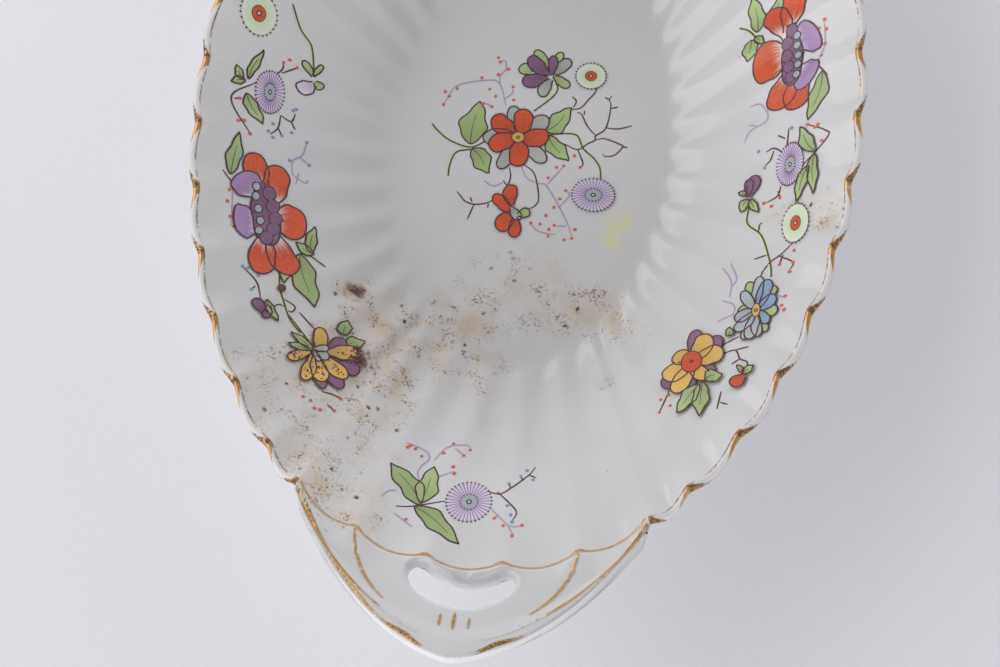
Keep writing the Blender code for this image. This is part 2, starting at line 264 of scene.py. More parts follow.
def rim_reach(phase):
    """Outermost distance of the scalloped lip from the centre."""
    from_end = np.abs((phase + 0.5 * HALF_LAP) % HALF_LAP - 0.5 * HALF_LAP)
    behind_handle = np.minimum(from_end / HANDLE_HALF_SPAN, 1.0)
    inset = ROOT_INSET * np.cos(0.5 * math.pi * behind_handle) ** 2
    return mean_rim_reach(phase) + SCALLOP_REACH * (0.5 - ridge(phase)) - inset


def rim_height(phase):
    """Height of the lip's inner edge, before the scallops lift it."""
    return SIDE_RIM_HEIGHT + END_RIM_LIFT * np.sin(flute_angle(phase)) ** 2


def section_points(phase, reach, height):
    """Points at a distance from the centre and a height, one for each phase."""
    angle = flute_angle(phase)
    return np.column_stack((reach * np.cos(angle), reach * np.sin(angle), height))


def wall_slope(phase, share):
    """Angle of the wall above the horizontal."""
    nudge = 0.001
    grade = (climb(share + nudge) - climb(share - nudge)) / (2.0 * nudge)
    if share == 0.0:
        grade = 0.0
    run = mean_rim_reach(phase) - well_reach(phase)
    return np.arctan(grade * (rim_height(phase) - WELL_HEIGHT) / run)


def lip_thickness(phase):
    """Thickness of the lip, which is pinched at the cusps."""
    return LIP_THICKNESS * (1.0 - CUSP_PINCH * ridge(phase))


def lip_overhang(phase):
    """How far the rounded lip stands outside its own inner edge."""
    slope = wall_slope(phase, 1.0)
    return 0.5 * lip_thickness(phase) * (np.sin(slope) + np.cos(slope))


def wall_points(phase, share, outside=False):
    """The wall at one share of the way from the well's edge to the lip."""
    well = well_reach(phase)
    rise = rim_height(phase) - WELL_HEIGHT
    run = rim_reach(phase) - lip_overhang(phase) - well
    flute = FLUTE_DEPTH * smooth_step(0.0, FLUTE_FULL, share)
    flute *= 1.0 - smooth_step(FLUTE_FADES, FLUTE_GONE, share)
    scallop = SCALLOP_HEIGHT * smooth_step(SCALLOP_STARTS, 1.0, share)
    reach = well + run * share
    height = WELL_HEIGHT + rise * climb(share)
    height = height + flute * (swell(phase) - 0.5) + scallop * (ridge(phase) - 0.5)
    if outside:
        slope = wall_slope(phase, share)
        thickness = WELL_THICKNESS + (lip_thickness(phase) - WELL_THICKNESS) * share
        reach = reach + thickness * np.sin(slope)
        height = height - thickness * np.cos(slope)
    return section_points(phase, reach, height)


def lip_points(phase, turn, lift=0.0):
    """The rounded lip at one turn round its section, from inner edge (0) to outside (pi)."""
    slope = wall_slope(phase, 1.0)
    inner = wall_points(phase, 1.0)
    half = 0.5 * lip_thickness(phase)
    radius = half + lift
    reach = np.hypot(inner[:, 0], inner[:, 1]) + half * np.sin(slope)
    height = inner[:, 2] - half * np.cos(slope)
    reach = reach + radius * (np.cos(slope) * math.sin(turn) - np.sin(slope) * math.cos(turn))
    height = height + radius * (np.sin(slope) * math.sin(turn) + np.cos(slope) * math.cos(turn))
    return section_points(phase, reach, height)


def flute_columns(first, last):
    """Phases over the flutes from first up to last, closest together beside each cusp."""
    inside = 0.5 * np.sin(np.linspace(-0.5, 0.5, FLUTE_COLUMNS + 1)[:-1] * math.pi)
    return (np.arange(first, last)[:, None] + inside).ravel()


def lobe_edge(side_share):
    """Plan of a handle's edge, from its corner (1 or -1) through the tip (0), at the -Y end."""
    corner_phase = np.array([HANDLE_HALF_SPAN])
    corner = section_points(corner_phase, rim_reach(corner_phase), np.zeros(1))[0]
    corner = corner + corner / np.linalg.norm(corner) * HANDLE_CORNER_WIDTH
    cage = (corner[:2], np.array(LOBE_SHOULDER), np.array(LOBE_SIDE), np.array(LOBE_TIP))
    along = (1.0 - np.abs(side_share))[:, None]
    back = 1.0 - along
    plan = back**3 * cage[0] + 3 * back**2 * along * cage[1]
    plan = plan + 3 * back * along**2 * cage[2] + along**3 * cage[3]
    plan[:, 0] *= np.where(side_share < 0.0, -1.0, 1.0)
    return plan


def edge_radius(side_share):
    """Radius of the handle's rolled edge, which thins into the lip at the corners."""
    full = smooth_step(0.0, EDGE_THICKENS, 1.0 - np.abs(side_share))
    return 0.5 * (LIP_THICKNESS + (HANDLE_THICKNESS - LIP_THICKNESS) * full)


def handle_top(side_share, out_share):
    """Top face of the -Y handle, from the wall's top (0) to its outermost line (1)."""
    phase = side_share * HANDLE_HALF_SPAN
    root = wall_points(phase, 1.0)
    reach = rim_reach(phase) - lip_overhang(phase) + SCALLOP_REACH * ridge(phase)
    flat = section_points(phase, reach, root[:, 2])
    fade = smooth_step(0.0, ROOT_SCALLOP_FADE, out_share)[:, None]
    root = root + (flat - root) * fade
    edge = lobe_edge(side_share)
    plan = root[:, :2] + (edge - root[:, :2]) * out_share[:, None]
    width = np.linalg.norm(plan - root[:, :2], axis=1)
    corner = smooth_step(0.0, BORDER_CORNER_FADE, 1.0 - np.abs(side_share))
    border = BORDER_LIFT * smooth_step(BORDER_STARTS, BORDER_FULL, out_share) * corner
    scallop = SCALLOP_HEIGHT * (ridge(phase) - 0.5) * (1.0 - fade[:, 0])
    cover = ROOT_COVER_LIFT * smooth_step(0.0, ROOT_COVER_WIDTH, width)
    rise = HANDLE_SLOPE * width + border + cover
    return np.column_stack((plan, rim_height(phase) + scallop + rise))


# ---------------------------------------------------------------- meshes


def face_outwards(mesh):
    """Turn the faces of a closed body outwards."""
    body = bmesh.new()
    body.from_mesh(mesh)
    bmesh.ops.recalc_face_normals(body, faces=body.faces)
    body.to_mesh(mesh)
    body.free()


def make_mesh(name, verts, faces, look, tints=None):
    """A smooth mesh object from points in millimetres, riding on the dish."""
    mesh = bpy.data.meshes.new(name)
    mesh.from_pydata((np.asarray(verts) * MM).tolist(), [], faces)
    mesh.validate()
    if tints is None:
        face_outwards(mesh)
    mesh.shade_smooth()
    if tints is not None:
        layer = mesh.color_attributes.new("tint", "FLOAT_COLOR", "POINT")
        layer.data.foreach_set("color", np.asarray(tints, np.float32).ravel())
    mesh.materials.append(look)
    obj = bpy.data.objects.new(name, mesh)
    bpy.context.scene.collection.objects.link(obj)
    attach(obj, "root")
    return obj


def loft(rings, closed, wrap=False):
    """Quads between rings; closed joins each ring's ends, wrap joins the last ring to the first."""
    count = len(rings[0])
    spans = count if closed else count - 1
    rows = len(rings) if wrap else len(rings) - 1
    faces = []
    for row in range(rows):
        near = row * count
        far = (row + 1) % len(rings) * count
        for step in range(spans):
            after = (step + 1) % count
            faces.append((near + step, near + after, far + after, far + step))
    return np.concatenate(rings), faces


def build_bowl(look):
    """The fluted oval body, from the well over the lip and back underneath."""
    phase = flute_columns(0, FLUTES)
    inner_edge = wall_points(phase, 0.0)
    outer_edge = wall_points(phase, 0.0, outside=True)
    rings = [inner_edge * (step, step, 1.0) for step in WELL_STEPS]
    rings += [wall_points(phase, share) for share in WALL_STEPS]
    rings += [lip_points(phase, turn) for turn in LIP_TURNS]
    rings += [wall_points(phase, share, outside=True) for share in OUTSIDE_STEPS]
    rings += [outer_edge * (step, step, 1.0) for step in WELL_STEPS[::-2]]
    verts, faces = loft(rings, closed=True)
    count = len(phase)
    last = len(verts) - count
    verts = np.concatenate((verts, [(0.0, 0.0, WELL_HEIGHT), (0.0, 0.0, WELL_HEIGHT - WELL_THICKNESS)]))
    middle = len(verts) - 2
    faces += [((i + 1) % count, i, middle) for i in range(count)]
    faces += [(last + i, last + (i + 1) % count, middle + 1) for i in range(count)]
    bowl = make_mesh("porcelain_bowl", verts, faces, look)
    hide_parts("bowl")
    return bowl


def build_foot_ring(look):
    """The foot ring, with a rounded edge to stand on."""
    turn = np.linspace(0.0, 2.0 * math.pi, FOOT_COLUMNS, endpoint=False)
    rings = []
    for inset, height in FOOT_PROFILE:
        reach = ellipse_reach(FOOT_OUTER[0] - inset, FOOT_OUTER[1] - inset, turn)
        level = np.full(len(turn), height)
        rings.append(np.column_stack((reach * np.cos(turn), reach * np.sin(turn), level)))
    verts, faces = loft(rings, closed=True, wrap=True)
    ring = make_mesh("porcelain_foot", verts, faces, look)
    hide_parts("foot_ring")
    return ring


def catmull_rom(p0, p1, p2, p3, t):
    """The smooth curve from p1 (t = 0) to p2 (t = 1)."""
    point = 2 * p1 + (p2 - p0) * t + (2 * p0 - 5 * p1 + 4 * p2 - p3) * t**2
    return 0.5 * (point + (3 * p1 - p0 - 3 * p2 + p3) * t**3)


def smooth_loop(points, count):
    """A closed smooth curve through points, sampled evenly along each span."""
    points = np.array(points, float)
    place = np.linspace(0.0, len(points), count, endpoint=False)
    first = np.floor(place).astype(int)
    around = [points[(first + k) % len(points)] for k in (-1, 0, 1, 2)]
    return catmull_rom(*around, (place - first)[:, None])


def cross(first, second):
    """Signed area between pairs of plan vectors."""
    return first[:, 0] * second[:, 1] - first[:, 1] * second[:, 0]


def handle_shares(plan):
    """Side and out shares of points on the handle's plan, by Newton steps from a rough guess."""
    side = np.clip(plan[:, 0] / 30.0, -0.9, 0.9)
    out = np.clip((-plan[:, 1] - 97.0) / 19.0, 0.05, 0.95)
    nudge = 1e-4
    for _ in range(NEWTON_STEPS):
        here = handle_top(side, out)[:, :2]
        by_side = (handle_top(side + nudge, out)[:, :2] - here) / nudge
        by_out = (handle_top(side, out + nudge)[:, :2] - here) / nudge
        miss = plan - here
        area = cross(by_side, by_out)
        side = side + cross(miss, by_out) / area
        out = out + cross(by_side, miss) / area
    return side, out


def slot_outline(count_top, count_bottom):
    """The finger slot's outline: its bowl side from left to right, then its outer side back."""
    right = list(SLOT_HALF)
    left = [(-x, y) for x, y in right]
    dense = smooth_loop(left[3:0:-1] + right + left[5:3:-1], SLOT_SAMPLES)
    half = SLOT_SAMPLES // 2
    bowl_side = even_points(dense[: half + 1], count_top)
    outer_side = even_points(np.concatenate((dense[half:], dense[:1])), count_bottom)
    return np.concatenate((bowl_side, outer_side[1:-1]))


def even_points(line, count):
    """Points evenly spaced along a line."""
    distance = np.concatenate(([0.0], np.cumsum(np.linalg.norm(np.diff(line, axis=0), axis=1))))
    wanted = np.linspace(0.0, distance[-1], count)
    return np.column_stack([np.interp(wanted, distance, line[:, k]) for k in range(line.shape[1])])


def slot_roll(outline):
    """How far the slot's bowl side rolls into the hole: most near the middle, nothing at the ears."""
    from_middle = np.abs(outline[:, 0] - SLOT_ROLL_MIDDLE)
    middle = SLOT_CENTRE[1]
    bowl_side = smooth_step(middle + SLOT_ROLL_STARTS, middle + SLOT_ROLL_FULL, outline[:, 1])
    return bowl_side * np.cos(0.5 * math.pi * np.clip(from_middle / SLOT_ROLL_REACH, 0.0, 1.0)) ** 1.5


def build_handle(name, node, end, look):
    """A pierced lobe: its columns run from the finger slot to the root and the rolled edge."""
    root_side = np.append(flute_columns(-2, 3), HANDLE_HALF_SPAN) / HANDLE_HALF_SPAN
    edge_side = np.linspace(1.0, -1.0, HANDLE_EDGE_COLUMNS)
    border_side = np.concatenate((root_side, edge_side))
    border_out = np.concatenate((np.zeros(len(root_side)), np.ones(len(edge_side))))
    is_edge = border_out > 0.5
    slot = slot_outline(len(root_side), len(edge_side) + 2) + np.array(SLOT_CENTRE)
    slot_side, slot_out = handle_shares(slot)

    def top_row(share):
        """Top face at one share of the way from the slot to the border."""
        side = slot_side + (border_side - slot_side) * share
        return handle_top(side, slot_out + (border_out - slot_out) * share)

    def sunk(points, depth):
        """Points moved into the handle, square to its slope."""
        tilt = math.atan(HANDLE_SLOPE)
        along = points * (1.0, 1.0, 0.0)
        along /= np.linalg.norm(along, axis=1)[:, None]
        return points + depth * (along * math.sin(tilt) - np.array((0.0, 0.0, math.cos(tilt))))

    radius = edge_radius(border_side)
    edge_reach = EDGE_ROUNDING * radius
    full_width = np.linalg.norm(top_row(np.ones(len(slot)))[:, :2] - slot, axis=1)
    edge_stop = np.where(is_edge, 1.0 - edge_reach / full_width, 1.0)
    slot_stop = np.minimum(SLOT_EDGE_RADIUS / full_width, 0.6)
    shares = [slot_stop + (edge_stop - slot_stop) * step for step in np.linspace(0.0, 1.0, HANDLE_ROWS)]
    top = [top_row(share) for share in shares]
    flat_edge = top[-1]
    flat_slot = top[0]
    slot_line = handle_top(slot_side, slot_out)
    to_hole = slot_line - flat_slot
    away = top_row(np.ones(len(slot))) - flat_edge
    away[:, 2] = 0.0
    away /= np.maximum(np.linalg.norm(away, axis=1), 1e-9)[:, None]

    rings = list(reversed(top))
    rolled_share = slot_roll(slot)
    roll = np.column_stack((np.zeros(len(slot)), -SLOT_ROLL_WIDTH * rolled_share, np.zeros(len(slot))))
    roll_depth = SLOT_EDGE_RADIUS + (SLOT_ROLL_DEPTH - SLOT_EDGE_RADIUS) * np.minimum(rolled_share * 2.0, 1.0)
    for turn in SLOT_TOP_TURNS:
        drop = roll_depth * (1.0 - math.cos(turn))
        rings.append(sunk(flat_slot + (to_hole + roll) * math.sin(turn), drop[:, None]))
    for turn in SLOT_BOTTOM_TURNS:
        drop = HANDLE_THICKNESS - SLOT_LOWER_RADIUS * (1.0 - math.cos(turn))
        rings.append(sunk(flat_slot + roll + to_hole * math.sin(turn), drop))
    rings += [sunk(row, HANDLE_THICKNESS) for row in top[2::3]]
    buried = wall_points(border_side * HANDLE_HALF_SPAN, 0.9, outside=True)
    centre = flat_edge - np.column_stack((np.zeros((len(radius), 2)), radius))
    for turn in EDGE_TURNS:
        rolled = centre + away * (edge_reach * math.cos(turn))[:, None]
        rolled[:, 2] += radius * math.sin(turn)
        share = 0.5 + turn / math.pi
        tucked = buried + (flat_edge - buried) * share
        rings.append(np.where(is_edge[:, None], rolled, tucked))
    verts, faces = loft(rings, closed=True, wrap=True)
    verts = verts @ np.array(end.to_3x3()).T
    handle = make_mesh(name, verts, [face[::-1] for face in faces], look)
    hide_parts(node)
    return handle


def surface_tree(pieces):
    """A search tree over the porcelain, in metres, to lay films on."""
    verts = []
    faces = []
    for piece in pieces:
        first = len(verts)
        verts += [vertex.co.copy() for vertex in piece.data.vertices]
        faces += [[first + i for i in face.vertices] for face in piece.data.polygons]
    return BVHTree.FromPolygons(verts, faces)


def drape(tree, plan, lift):
    """Points of a plan laid on the porcelain from above, lifted off it; all in millimetres."""
    laid = np.zeros((len(plan), 3))
    down = Vector((0.0, 0.0, -1.0))
    for i, (x, y) in enumerate(plan):
        spot, normal, _, _ = tree.ray_cast(Vector((x * MM, y * MM, DROP_HEIGHT)), down)
        if spot is None:
            spot, normal, _, _ = tree.find_nearest(Vector((x * MM, y * MM, HANDLE_HIGH[2] * MM)))
        laid[i] = np.array(spot) / MM + np.array(normal) * lift[i]
    return laid


# ---------------------------------------------------------------- gilding


def ribbon_edges(line, width):
    """Left and right edges of a strip of one width, or a width at each point, along a line."""
    ahead = np.gradient(line, axis=0)
    side = np.column_stack((-ahead[:, 1], ahead[:, 0]))
    side /= np.maximum(np.linalg.norm(side, axis=1), 1e-9)[:, None]
    half = 0.5 * np.broadcast_to(width, len(line))[:, None]
    return line - side * half, line + side * half


def gilt_ribbon(tree, line, width, strength, grime=0.0):
    """A low gilt strip: its points, faces and tints (strength, place across, grime)."""
    left, right = ribbon_edges(line, width)
    across = np.array((0.0, 0.5, 1.0))
    rings = []
    for share, crown in zip(across, (0.0, GILT_CROWN, 0.0)):
        row = left + (right - left) * share
        rings.append(drape(tree, row, np.full(len(row), GILT_LIFT + crown)))
    verts, faces = loft(rings, closed=False)
    tints = np.ones((len(across), len(line), 4))
    tints[:, :, 0] = strength
    tints[:, :, 1] = across[:, None]
    tints[:, :, 2] = grime
    return verts, faces, tints.reshape(-1, 4)


def gilt_piece(name, strips, nodes, end, look):
    """One piece of gilding from several strips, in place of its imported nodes."""
    verts = []
    faces = []
    tints = []
    for strip_verts, strip_faces, strip_tints in strips:
        first = len(verts)
        verts.extend(strip_verts @ np.array(end.to_3x3()).T)
        faces += [[first + i for i in face] for face in strip_faces]
        tints.extend(strip_tints)
    piece = make_mesh(name, np.array(verts), faces, look, np.array(tints))
    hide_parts(*nodes)


def inside_line(line, inset):
    """A plan line moved towards the dish's centre."""
    return line * (1.0 - inset / np.linalg.norm(line, axis=1))[:, None]


def root_strips(tree):
    """The line along a handle's root, thicker at the cusps."""
    side = np.linspace(-0.985, 0.985, 260)
    root = handle_top(side, np.full(len(side), 0.004))[:, :2]
    peak = 1.0 - smooth_step(0.0, 0.14, from_cusp(side * HANDLE_HALF_SPAN))
    return [gilt_ribbon(tree, inside_line(root, 0.4 * peak), 0.42 + 0.4 * peak, 0.8)]


def border_strips(tree):
    """A faint inner line each side, and the worn edge with its two smudges, dirtier on the left."""
    strips = []
    for sign in (-1.0, 1.0):
        side = sign * np.linspace(0.985, 0.14, 120)
        faint = 1.0 - smooth_step(0.25, 0.85, 1.0 - np.abs(side))
        line = handle_top(side, np.full(len(side), 0.80))[:, :2]
        strips.append(gilt_ribbon(tree, line, 0.55, 0.35 + 0.6 * faint))
    side = np.linspace(-0.99, 0.99, 320)
    left = smooth_step(0.22, 0.5, -side)
    corner = np.maximum(smooth_step(0.62, 0.9, side), left)
    smudge = np.exp(-(((np.abs(side) - 0.2) / 0.075) ** 2))
    line = inside_line(lobe_edge(side), 0.62 + 0.5 * smudge + 0.25 * left)
    strength = np.minimum(0.35 + 0.5 * corner + smudge, 1.0)
    grime = np.minimum(0.2 + 0.8 * smudge + 0.55 * left, 1.0)
    return strips + [gilt_ribbon(tree, line, 1.15 + smudge + 0.5 * left, strength, grime)]


def arc_strips(tree):
    """An arc each side of the slot, bent and swelling towards its middle."""
    strips = []
    for sign, strength in ((-1.0, 0.75), (1.0, 0.95)):
        sweep = np.linspace(0.0, 1.0, 60)
        start, stop = handle_top(np.array((sign * 0.6, sign * 0.335)), np.array((0.01, 0.67)))[:, :2]
        bend = start + (stop - start) * (0.10, 0.62)
        away = (1.0 - sweep)[:, None]
        line = away**2 * start + 2.0 * away * (1.0 - away) * bend + (1.0 - away) ** 2 * stop
        width = 0.35 + 0.5 * np.sin(math.pi * np.minimum(sweep * 0.9 + 0.1, 1.0))
        strips.append(gilt_ribbon(tree, line, width, strength * (1.0 - 0.35 * sweep)))
    return strips


def dash_strips(tree):
    """Three short dashes near the tip, tapered at both ends."""
    strips = []
    taper = np.sqrt(np.sin(np.linspace(0.12, math.pi - 0.12, 14)))
    for x, start, stop, width in DASHES:
        line = np.column_stack((np.full(len(taper), x), np.linspace(start, stop, len(taper))))
        strips.append(gilt_ribbon(tree, line, width * taper, 0.7))
    return strips


def build_handle_gilding(tree, place, end, line_look, worn_look):
    """The gilt lines of one handle, laid out on the -Y end and turned to their own end."""
    pieces = (
        ("root", root_strips, [""], line_look),
        ("border", border_strips, ["_left", "_right"], worn_look),
        ("arc", arc_strips, ["_left", "_right"], line_look),
        ("dash", dash_strips, ["_left", "_middle", "_right"], line_look),
    )
    names = {"arc": "arcs", "dash": "dashes"}
    for kind, strips, sides, look in pieces:
        nodes = [f"{kind}_gilding_{place}{side}" for side in sides]
        gilt_piece(f"gilding_{names.get(kind, kind)}_{place}", strips(tree), nodes, end, look)


def build_rim_gilding(name, node, first, far_flank, look):
    """The worn gilding round the lip: its tints are distance from a cusp, place across and flank."""
    last = first + HALF_LAP - HANDLE_HALF_SPAN
    phase = np.append(flute_columns(first + HANDLE_HALF_SPAN + 0.5, last), last)
    lift = np.array((0.0, 0.0, GILT_LIFT))
    rings = [wall_points(phase, RIM_GILT_STARTS) + lift]
    rings += [lip_points(phase, turn, GILT_LIFT) for turn in RIM_GILT_TURNS]
    verts, faces = loft(rings, closed=False)
    # flank tells the two sides of each cusp apart; the rim look paints a dark reflection over one of them
    flank = 0.5 + 0.5 * far_flank * np.sin(2.0 * math.pi * (phase - 0.5))
    tints = []
    for row in range(len(rings)):
        across = np.full(len(phase), row / (len(rings) - 1.0))
        tints.append(np.column_stack((from_cusp(phase), across, flank, np.ones(len(phase)))))
    piece = make_mesh(name, verts, [face[::-1] for face in faces], look, np.concatenate(tints))
    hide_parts(node)


# ---------------------------------------------------------------- printed sprays


def smooth_line(points):
    """An open smooth curve through points, sampled at an even spacing."""
    points = np.array(points, float)
    points = np.concatenate(([2 * points[0] - points[1]], points, [2 * points[-1] - points[-2]]))
    dense = []
    for i in range(len(points) - 3):
        dense += [catmull_rom(*points[i : i + 4], t) for t in np.linspace(0.0, 1.0, 12, endpoint=False)]
    dense = np.array(dense + [points[-2]])
    length = np.linalg.norm(np.diff(dense, axis=0), axis=1).sum()
    return even_points(dense, max(3, int(length / LINE_SPACING) + 1))


class Spray:
    """A printed spray: flat shapes on the dish's plan that are then laid on the glaze."""

    def __init__(self, turned):
        self.turn = -1.0 if turned else 1.0
        self.plan = []
        self.lifts = []
        self.tints = []
        self.faces = []
        self.level = 0
        self.random = np.random.default_rng(PRINT_SEED)

    def grid(self, rows, tints, lift, closed=False):
        """A sheet from rows of plan points."""
        count = len(rows[0])
        first = len(self.plan)
        for row, colours in zip(rows, tints):
            self.plan.extend(np.asarray(row) * self.turn)
            self.tints.extend(np.broadcast_to(colours, (count, 3)))
            self.lifts.extend([lift] * count)
        for i in range(len(rows) - 1):
            for k in range(count if closed else count - 1):
                near = first + i * count
                after = (k + 1) % count
                self.faces.append((near + k, near + after, near + count + after, near + count + k))

    def film(self):
        """Height of the next film over the glaze."""
        self.level += 1
        return PRINT_LIFT + self.level * PRINT_STEP

    def ribbon(self, line, width, colour, lift):
        """A flat strip along a plan line."""
        left, right = ribbon_edges(line, width)
        self.grid([left, right], [colour, colour], lift)

    def lines(self, colour, paths, width=0.34):
        """Fine twigs through points, thinner at their ends."""
        for path in paths:
            line = smooth_line(path)
            taper = 0.55 + 0.45 * np.sin(np.linspace(0.15, math.pi - 0.15, len(line)))
            self.ribbon(line, width * taper, colour, PRINT_LIFT)

    def stems(self, paths):
        """Green stems with a dark line along one side."""
        self.lines(PALE_GREEN, paths, 0.9)
        for path in paths:
            line = smooth_line(path)
            self.ribbon(line + (0.16, -0.16), 0.36, STEM, PRINT_LIFT + OUTLINE_LIFT)

    def disc(self, centre, radii, tints, lift):
        """A filled ellipse whose colour runs from its middle out through the tints."""
        steps = max(10, int(4.0 * max(radii)) * 4)
        around = np.linspace(0.0, 2.0 * math.pi, steps, endpoint=False)
        shape = np.column_stack((radii[0] * np.cos(around), radii[1] * np.sin(around)))
        shares = np.linspace(0.02, 1.0, max(2, int(max(radii) / 0.5), len(tints)) + 1)
        stops = np.linspace(0.0, 1.0, len(tints))
        colours = np.column_stack([np.interp(shares, stops, part) for part in zip(*tints)])
        self.grid([np.array(centre) + shape * share for share in shares], colours, lift, closed=True)

    def spot(self, centre, radii, colour, lift):
        """A filled ellipse of one colour."""
        self.disc(centre, radii, (colour, colour), lift)

    def dots(self, colour, places):
        """Small round berries."""
        for place in places:
            stretch = BERRY_RADIUS * self.random.uniform(0.85, 1.15, 2)
            self.spot(place, stretch, colour, PRINT_LIFT + 2 * OUTLINE_LIFT)

    def speckles(self, base, tip, count, colour=INK):
        """Fine dark spots scattered along the middle of a petal."""
        base = np.array(base, float)
        axis = np.array(tip, float) - base
        lift = PRINT_LIFT + (self.level + 1) * PRINT_STEP
        for _ in range(count):
            spot = base + axis * self.random.uniform(0.3, 0.9) + self.random.uniform(-0.75, 0.75, 2)
            radius = self.random.uniform(0.10, 0.2)
            self.spot(spot, (radius, radius), colour, lift)

    def petal(self, colour, base, tip, width, throat=None, pointed=False, lobes=0.05):
        """One outlined petal or leaf, from its base to its tip."""
        base = np.array(base, float)
        axis = np.array(tip, float) - base
        length = np.linalg.norm(axis)
        across = np.array((-axis[1], axis[0])) / length
        steps = max(9, int(length / 0.45))
        share = 0.5 - 0.5 * np.cos(np.linspace(0.0, math.pi, steps + 1))
        if pointed:
            profile = 3.7 * share**0.8 * (1.0 - share) ** 1.08
        else:
            neck = 0.38 + 0.62 * smooth_step(0.0, 0.5, share)
            cap = np.sqrt(np.clip(1.0 - (np.maximum(share - 0.7, 0.0) / 0.3) ** 2, 0.0, 1.0))
            profile = neck * cap
        phase = self.random.uniform(0.0, 2.0 * math.pi, 2)
        columns = np.linspace(-1.0, 1.0, max(5, int(width / 0.3) + 1))
        edges = []
        for sign, start in ((-1.0, phase[0]), (1.0, phase[1])):
            ripple = 1.0 + lobes * np.sin(13.0 * share + start) * smooth_step(0.1, 0.4, share)
            edges.append(0.5 * width * profile * ripple * sign)
        bend = (0.14 if pointed else 0.06) * width * math.sin(phase[0]) * np.sin(1.5 * math.pi * share)
        spine = base + axis * share[:, None] + across * bend[:, None]
        rows = []
        for column in columns:
            reach = np.where(column < 0.0, edges[0] * -column, edges[1] * column)
            rows.append(spine + across * reach[:, None])
        tone = self.random.uniform(0.9, 1.1)
        tints = []
        for column in columns:
            ramp = np.array(colour) * tone * (0.88 + 0.24 * smooth_step(0.1, 0.9, share))[:, None]
            if throat:
                reach = 0.46 + 0.14 * self.random.uniform(-1.0, 1.0)
                light = (1.0 - smooth_step(0.14, reach, share))[:, None]
                ramp = ramp * (1.0 - light) + np.array(throat) * light
            tints.append(ramp)
        lift = self.film()
        self.grid(rows, tints, lift)
        outline = np.concatenate((rows[0], rows[-1][::-1][1:]))
        self.ribbon(outline, OUTLINE_WIDTH, INK, lift + OUTLINE_LIFT)
        return spine, lift

    def petals(self, colour, shapes, throat=None):
        """Petals, each from its own base to its tip."""
        for base, tip, width in shapes:
            self.petal(colour, base, tip, width, throat)

    def bloom(self, colour, heart, tips):
        """Petals that share one heart: x and y of each tip, and its width."""
        for x, y, width in tips:
            self.petal(colour, heart, (x, y), width)

    def leaves(self, shapes):
        """Pointed leaves with a dark midrib."""
        for base, tip, width in shapes:
            spine, lift = self.petal(GREEN, base, tip, width, pointed=True, lobes=0.16)
            rib = spine[: int(len(spine) * 0.68)]
            self.ribbon(rib, 0.24 * np.linspace(1.0, 0.4, len(rib)), STEM, lift + OUTLINE_LIFT)

    def eye(self, centre, radii, colour):
        """A flower's outlined middle with a dark dot."""
        lift = self.film()
        stack = ((radii, INK), (np.array(radii) - 0.22, colour), ((0.42, 0.42), INK), ((0.18, 0.18), colour))
        for films, (size, tone) in enumerate(stack):
            self.spot(centre, size, tone, lift + films * OUTLINE_LIFT)

    def ring_of_dots(self, centre, radii, count, radius, lift):
        """Dark dots spaced round an ellipse."""
        for angle in np.linspace(0.0, 2.0 * math.pi, count, endpoint=False):
            place = (centre[0] + radii[0] * math.cos(angle), centre[1] + radii[1] * math.sin(angle))
            self.spot(place, (radius, radius), INK, lift)

    def daisy(self, centre, radii):
        """A lilac daisy: fine rays that end in dots round a grey-blue disc."""
        radii = np.array(radii)
        lift = self.film()
        self.disc(centre, radii * 0.95, (MAUVE, PALE_LILAC, PALE_LILAC), lift)
        for angle in np.linspace(0.0, 2.0 * math.pi, DAISY_RAYS, endpoint=False):
            ray = np.array((math.cos(angle), math.sin(angle))) * radii
            line = np.array(centre) + np.linspace(0.36, 0.97, 8)[:, None] * ray
            self.ribbon(line, 0.2, MAUVE, lift + OUTLINE_LIFT)
        self.ring_of_dots(centre, radii, DAISY_RAYS, 0.17, lift + 2 * OUTLINE_LIFT)
        self.spot(centre, radii * 0.38, GREY_BLUE, lift + 2 * OUTLINE_LIFT)
        self.ring_of_dots(centre, radii * 0.38, 16, 0.15, lift + 3 * OUTLINE_LIFT)
        self.spot(centre, radii * 0.13, INK, lift + 3 * OUTLINE_LIFT)
        self.spot(centre, radii * 0.06, PALE_LILAC, lift + 4 * OUTLINE_LIFT)

    def dotted_flower(self, centre, radii):
        """A pale green flower edged with dots, with a red middle."""
        radii = np.array(radii)
        lift = self.film()
        self.disc(centre, radii * 0.94, (GREEN, PALE_GREEN, PALEST_GREEN), lift)
        self.ring_of_dots(centre, radii, 26, 0.19, lift + OUTLINE_LIFT)
        rings = ((0.40, INK), (0.36, RED), (0.15, INK), (0.08, PALE_RED))
        for films, (share, colour) in enumerate(rings, 1):
            self.spot(centre, radii * share, colour, lift + films * OUTLINE_LIFT)

    def knobs(self, colour, places, radii):
        """Small outlined bumps."""
        for place in places:
            lift = self.film()
            self.spot(place, radii, INK, lift)
            self.spot(place, np.array(radii) - 0.2, colour, lift + OUTLINE_LIFT)

    def build(self, name, tree, look):
        """Lay the spray on the glaze as one film."""
        verts = drape(tree, self.plan, self.lifts)
        tints = np.column_stack((np.clip(self.tints, 0.0, 1.0), np.ones(len(self.tints))))
        up = []
        for face in self.faces:
            a, b, c = (verts[i] for i in face[:3])
            flipped = (b[0] - a[0]) * (c[1] - a[1]) - (b[1] - a[1]) * (c[0] - a[0]) < 0.0
            up.append(face[::-1] if flipped else face)
        piece = make_mesh(name, verts, up, look, tints)


